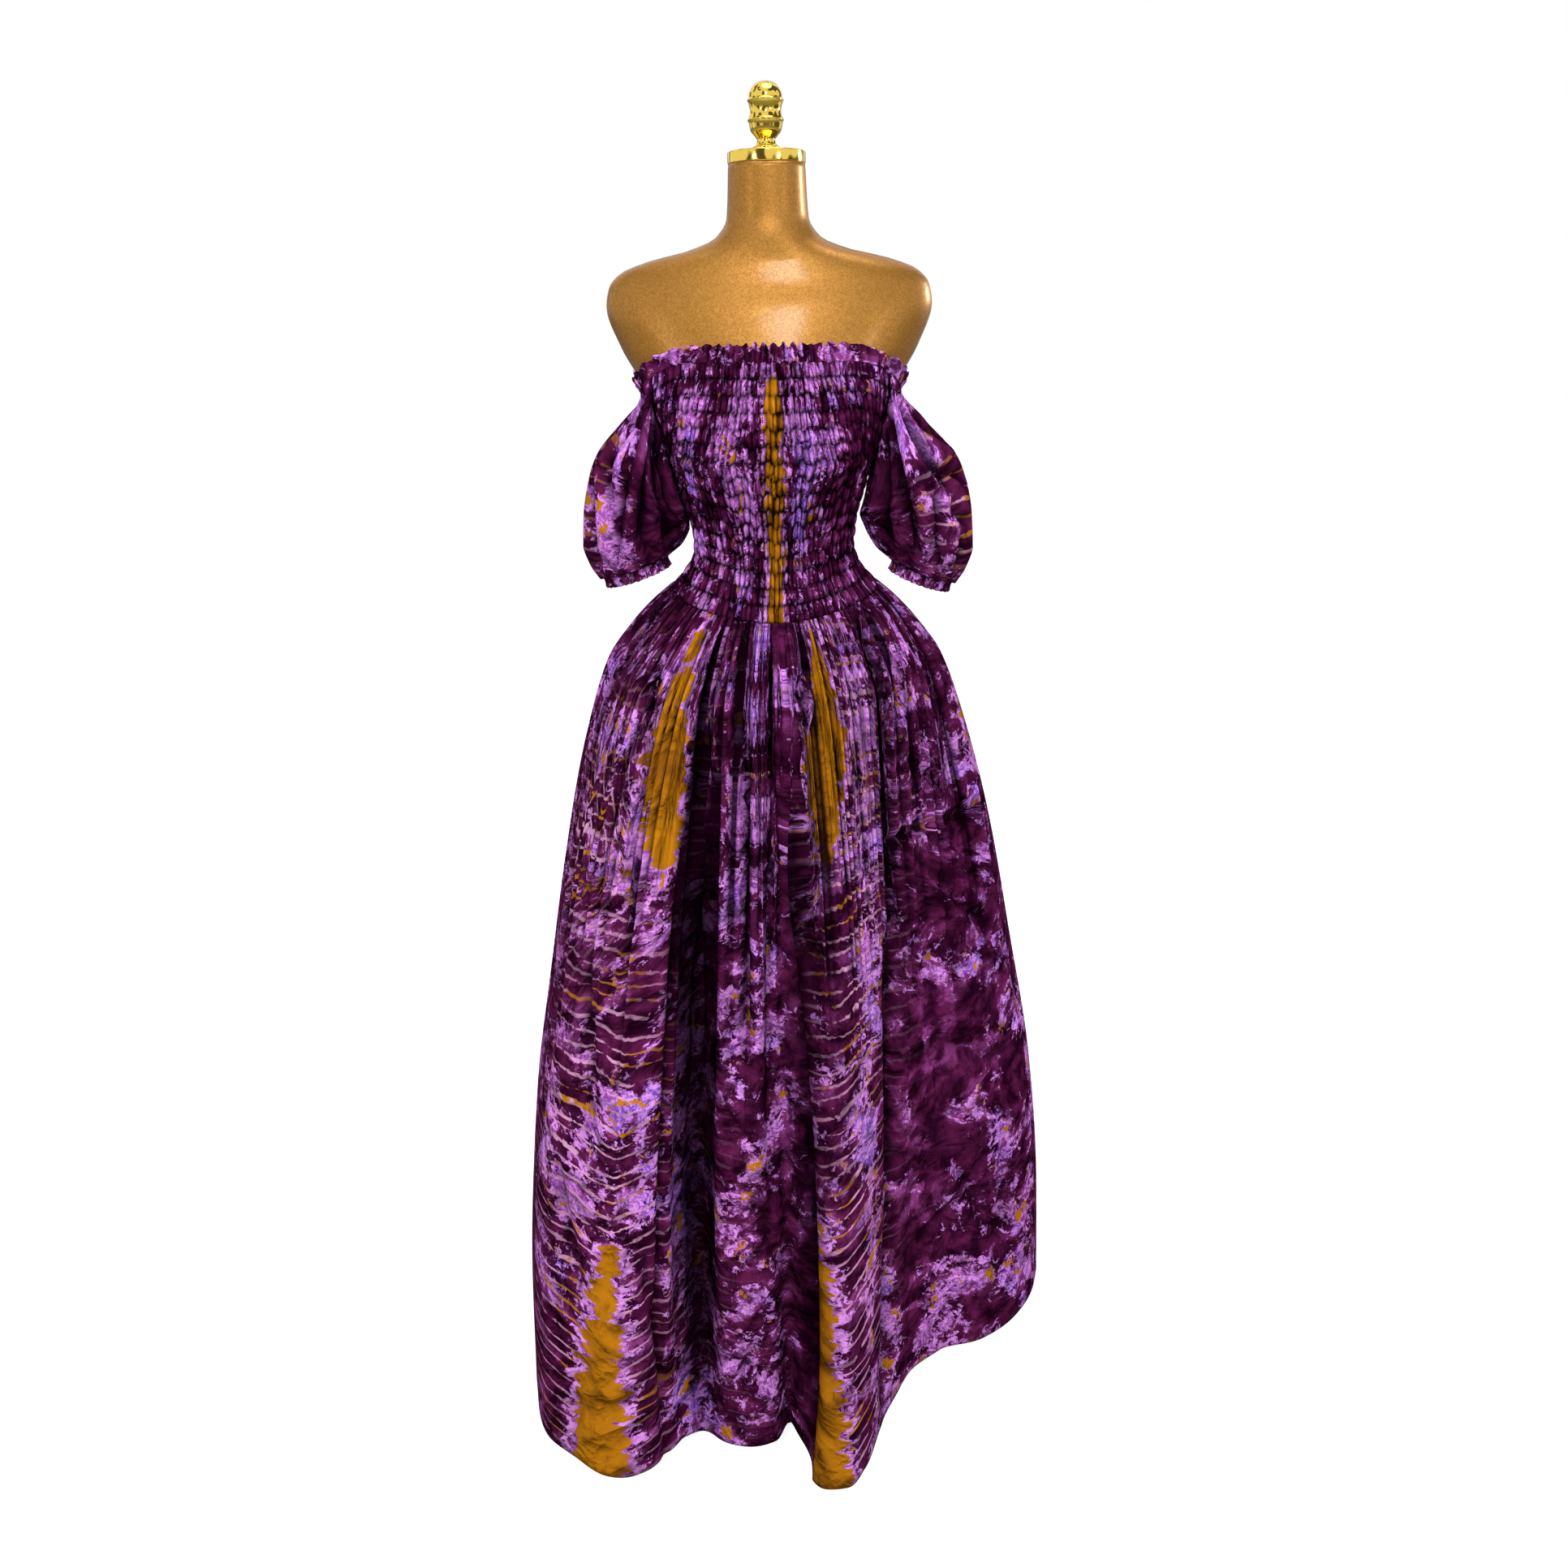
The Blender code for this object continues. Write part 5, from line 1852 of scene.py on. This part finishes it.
    def back_chart(self) -> DyeChart:
        """Dye marks of the back panel: the same bindings as the front's, laid out a little otherwise.

        Returns:
            The chart.
        """
        marks = (
            OchreMark((-0.230, 1.180), (-0.200, 0.880), 0.048, 0.55),
            OchreMark((0.300, 1.185), (0.260, 0.900), 0.052, 0.60),
            OchreMark((-0.180, 0.430), (-0.190, -0.250), 0.036, 0.55),
            OchreMark((0.320, 0.400), (0.330, -0.250), 0.040, 0.55),
            OchreMark((-0.700, 1.130), (-0.690, 0.930), 0.026, 0.50),
        )
        clouds = patches(
            (-0.580, 0.950, 0.070, 0.100, 0.55),
            (-0.340, 0.800, 0.032, 0.180, 0.70),
            (-0.420, 0.400, 0.045, 0.120, 0.65),
            (-0.060, 0.980, 0.040, 0.080, 0.60),
            (0.030, 0.650, 0.034, 0.170, 0.65),
            (0.180, 0.600, 0.028, 0.140, 0.60),
            (0.420, 0.700, 0.034, 0.160, 0.70),
            (0.560, 1.020, 0.060, 0.080, 0.45),
            (0.500, 0.220, 0.060, 0.090, 0.55),
            (0.060, 0.180, 0.050, 0.070, 0.50),
            (-0.300, 0.250, 0.040, 0.120, -0.60),
            (0.240, 0.250, 0.040, 0.140, -0.70),
            (0.340, 0.640, 0.030, 0.120, -0.50),
            (-0.240, 0.640, 0.040, 0.120, -0.50),
        )
        ribs = patches(
            (-0.300, 0.900, 0.120, 0.240, 0.80),
            (0.380, 0.820, 0.110, 0.260, 0.80),
            (-0.200, 0.250, 0.110, 0.240, 0.75),
            (0.330, 0.220, 0.120, 0.240, 0.75),
        )
        return DyeChart(marks, clouds, ribs, patches((-0.450, 0.930, 0.090, 0.130, 0.90)))

    def panel(self, face: Face) -> None:
        """Makes one panel.

        Args:
            face: which panel.
        """
        probe = np.linspace(-SKIRT_HALF_ANGLE, SKIRT_HALF_ANGLE, self.even_steps) + face.value
        low, _, _ = self.drape(probe, np.full(1, self.even_drop), face)
        run = distance_along(low)
        share = np.linspace(0, 1, self.columns)
        angle = np.interp(share, run / run[-1], probe)
        drop = np.linspace(1, 0, self.rows)[:, None]
        skin, groove, gathers = self.drape(angle[None, :], drop, face)
        flat = np.stack(np.broadcast_arrays((share - 0.5) * self.cut_width, skin[..., 2]), axis=-1)
        normal = Surface(skin).normals()
        # The creases, which fade out at the waist seam and the side seams
        relief = creased(flat, self.front_creases if face is Face.FRONT else self.back_creases)
        relief = relief * ease_in_out(drop * 25) * ease_in_out((1 - np.abs(2 * share - 1)) * 12)
        points = skin + normal * relief[..., None]
        marks = self.chart(face).read(flat)
        # Painted shade in the creases' troughs, added to that in the gathers' grooves
        marks["shade"] = np.clip(np.clip(-relief / self.dark_depth, 0, 1) ** 0.8 + groove, 0, 1)
        surface = Surface(points, self.pleated(points, gathers[0], drop), marks=marks)
        cut = (self.cut_width, self.cut_length)
        add_cloth(f"skirt_{face.name.lower()}", surface, self.cotton, self.wall, cut)

    def pleated(self, points: np.ndarray, gathers: np.ndarray, drop: np.ndarray) -> np.ndarray:
        """Where the dye's fine pattern lies on the cloth, at true size all over.

        Formula: the way along each row from its middle, and the height. Near the waist, where the grooves
        hide part of the cloth, each gather shows the cloth at its own middle instead.

        Args:
            points: the panel's grid of points.
            gathers: how many gathers lie left of each column.
            drop: shares of the way from the waist seam to the hem.

        Returns:
            Places on the flat cloth.
        """
        steps = np.linalg.norm(np.diff(points, axis=1, prepend=points[:, :1]), axis=-1)
        run = np.cumsum(steps, axis=1)
        along = run - run[:, self.columns // 2, None]
        middle = np.floor(gathers) + 0.5
        column = np.interp(middle, np.maximum.accumulate(gathers), np.arange(self.columns))
        width = run[:, -1:] / self.gathers
        across = (column / (self.columns - 1) - 0.5) * self.cut_width + (gathers - middle) * width
        share = ease_in_out((self.gathered_drop - drop) / self.gathered_fade)
        return np.stack([along * (1 - share) + across * share, points[..., 2]], axis=-1)


@dataclass
class Studio:
    """The camera, a pale floor and plain soft lights."""

    eye: tuple[float, float, float] = (0.0096, -1.54, 1.55)
    pitch: float = math.radians(72)
    roll: float = math.radians(-1)
    lens: float = 27.56
    sensor: float = 36.0
    shift: float = -0.0564
    floor_radius: float = 9.0
    floor_inner: float = 0.001
    floor_depth: float = 0.0005
    floor_steps: int = 64
    floor_grain: Grain = Grain(1 / 3, 2.0)
    aim: tuple[float, float, float] = (0.0, 0.0, 1.05)
    # Name, place, width, power, whether mirrors show it
    lamps: tuple[tuple[str, tuple[float, float, float], float, float, bool], ...] = (
        ("key", (-0.6, -2.7, 2.9), 1.0, 86.0, False),
        ("glow", (0.15, -2.6, 2.9), 0.4, 18.0, True),
        ("left_glow", (-1.6, -2.3, 1.9), 0.4, 7.0, True),
        ("right_glow", (1.7, -2.3, 1.9), 0.4, 6.0, True),
        ("fill", (2.4, -2.0, 1.9), 1.6, 16.0, False),
        ("top", (0.3, -0.2, 4.2), 2.0, 40.0, True),
        ("back", (-1.6, 2.6, 2.4), 2.2, 34.0, False),
        ("rim", (2.3, 1.1, 2.0), 0.5, 26.0, True),
    )

    def build(self) -> None:
        """Sets up the studio."""
        data = bpy.data.cameras.new("camera")
        data.lens = self.lens
        data.sensor_width = self.sensor
        data.shift_y = self.shift
        camera = bpy.data.objects.new("camera", data)
        turn = Matrix.Rotation(self.pitch, 4, "X") @ Matrix.Rotation(self.roll, 4, "Z")
        camera.matrix_world = Matrix.Translation(self.eye) @ turn
        bpy.context.scene.collection.objects.link(camera)
        bpy.context.scene.camera = camera
        self.floor()
        self.lights()

    def floor(self) -> None:
        """Lays a wide floor, washed out to near white like the room."""
        graph = Graph(bpy.data.materials.new("pale_floor_paint"))
        place = graph.add("ShaderNodeTexCoord", output="Object")
        speckle = graph.add(NOISE, self.floor_grain.over(place))
        tone = graph.add(MIX, {0: speckle, 6: linear("#a5a4a3"), 7: linear("#a9a9a8")}, **BLEND)
        seen = graph.add("ShaderNodeLightPath", output="Is Camera Ray")
        lit = graph.add(MATH, {0: seen, 1: 0.84}, operation="MULTIPLY")
        graph.feed(Base_Color=tone, Roughness=0.8, Emission_Color=linear("#ffffff"), Emission_Strength=lit)
        angle = np.arange(self.floor_steps) * math.tau / self.floor_steps
        radius = np.array([[self.floor_radius], [self.floor_inner]])
        mesh = Surface(around(radius, angle, -self.floor_depth), closed=True).mesh("floor")
        floor = bpy.data.objects.new("floor", mesh)
        mesh.materials.append(graph.owner)
        bpy.context.scene.collection.objects.link(floor)

    def lights(self) -> None:
        """Hangs the lamps and lights the room.

        The key, the fill and the back lamp are hidden from mirrors, so that the gold shows small clean
        highlights.
        """
        for name, place, width, power, mirrored in self.lamps:
            data = bpy.data.lights.new(name, "AREA")
            data.shape = "DISK"
            data.size = width
            data.energy = power
            light = bpy.data.objects.new(name, data)
            light.visible_glossy = mirrored
            turn = (Vector(self.aim) - Vector(place)).to_track_quat("-Z", "Y")
            light.matrix_world = Matrix.Translation(place) @ turn.to_matrix().to_4x4()
            bpy.context.scene.collection.objects.link(light)
        bpy.context.scene.world = self.room()
        bpy.context.scene.view_settings.view_transform = "Standard"

    def room(self) -> bpy.types.World:
        """Makes the room: dimmer low down for the light it gives, patchy in mirrors, near white when seen.

        Returns:
            The world.
        """
        graph = Graph(bpy.data.worlds.new("studio_room"), "Background")
        direction = graph.add("ShaderNodeTexCoord", output="Generated")
        height = graph.add("ShaderNodeSeparateXYZ", {0: direction}, output=2)
        ends = {"From Min": -0.1, "From Max": 0.9, "To Min": 0.10, "To Max": 0.75}
        light = graph.add(RANGE, {"Value": height} | ends)
        panels = graph.add(NOISE, {"Vector": direction, "Scale": 2.2, "Detail": 0.0})
        ends = {"From Min": 0.44, "From Max": 0.50, "To Min": 0.10, "To Max": 0.95}
        mirrored = graph.add(RANGE, {"Value": panels} | ends)
        for name, strength in (("Is Glossy Ray", mirrored), ("Is Camera Ray", 1.0)):
            share = graph.add("ShaderNodeLightPath", output=name)
            light = graph.add(MIX, {0: share, 2: light, 3: strength})
        graph.feed(Color=linear("#ffffff"), Strength=light)
        return graph.owner


def main() -> None:
    """Builds the studio, the form and the dress, in that order."""
    logging.basicConfig(level=logging.INFO)
    figure = Figure()
    Studio().build()
    cotton = DyedCotton().dress()
    DressForm(figure, GoldPaint().dress(), GoldPlate().dress()).build()
    Bodice(figure, cotton).build()
    for side in Side:
        Sleeve(figure, cotton, side).build()
    Skirt(figure, cotton).build()


if __name__ == "__main__":
    main()
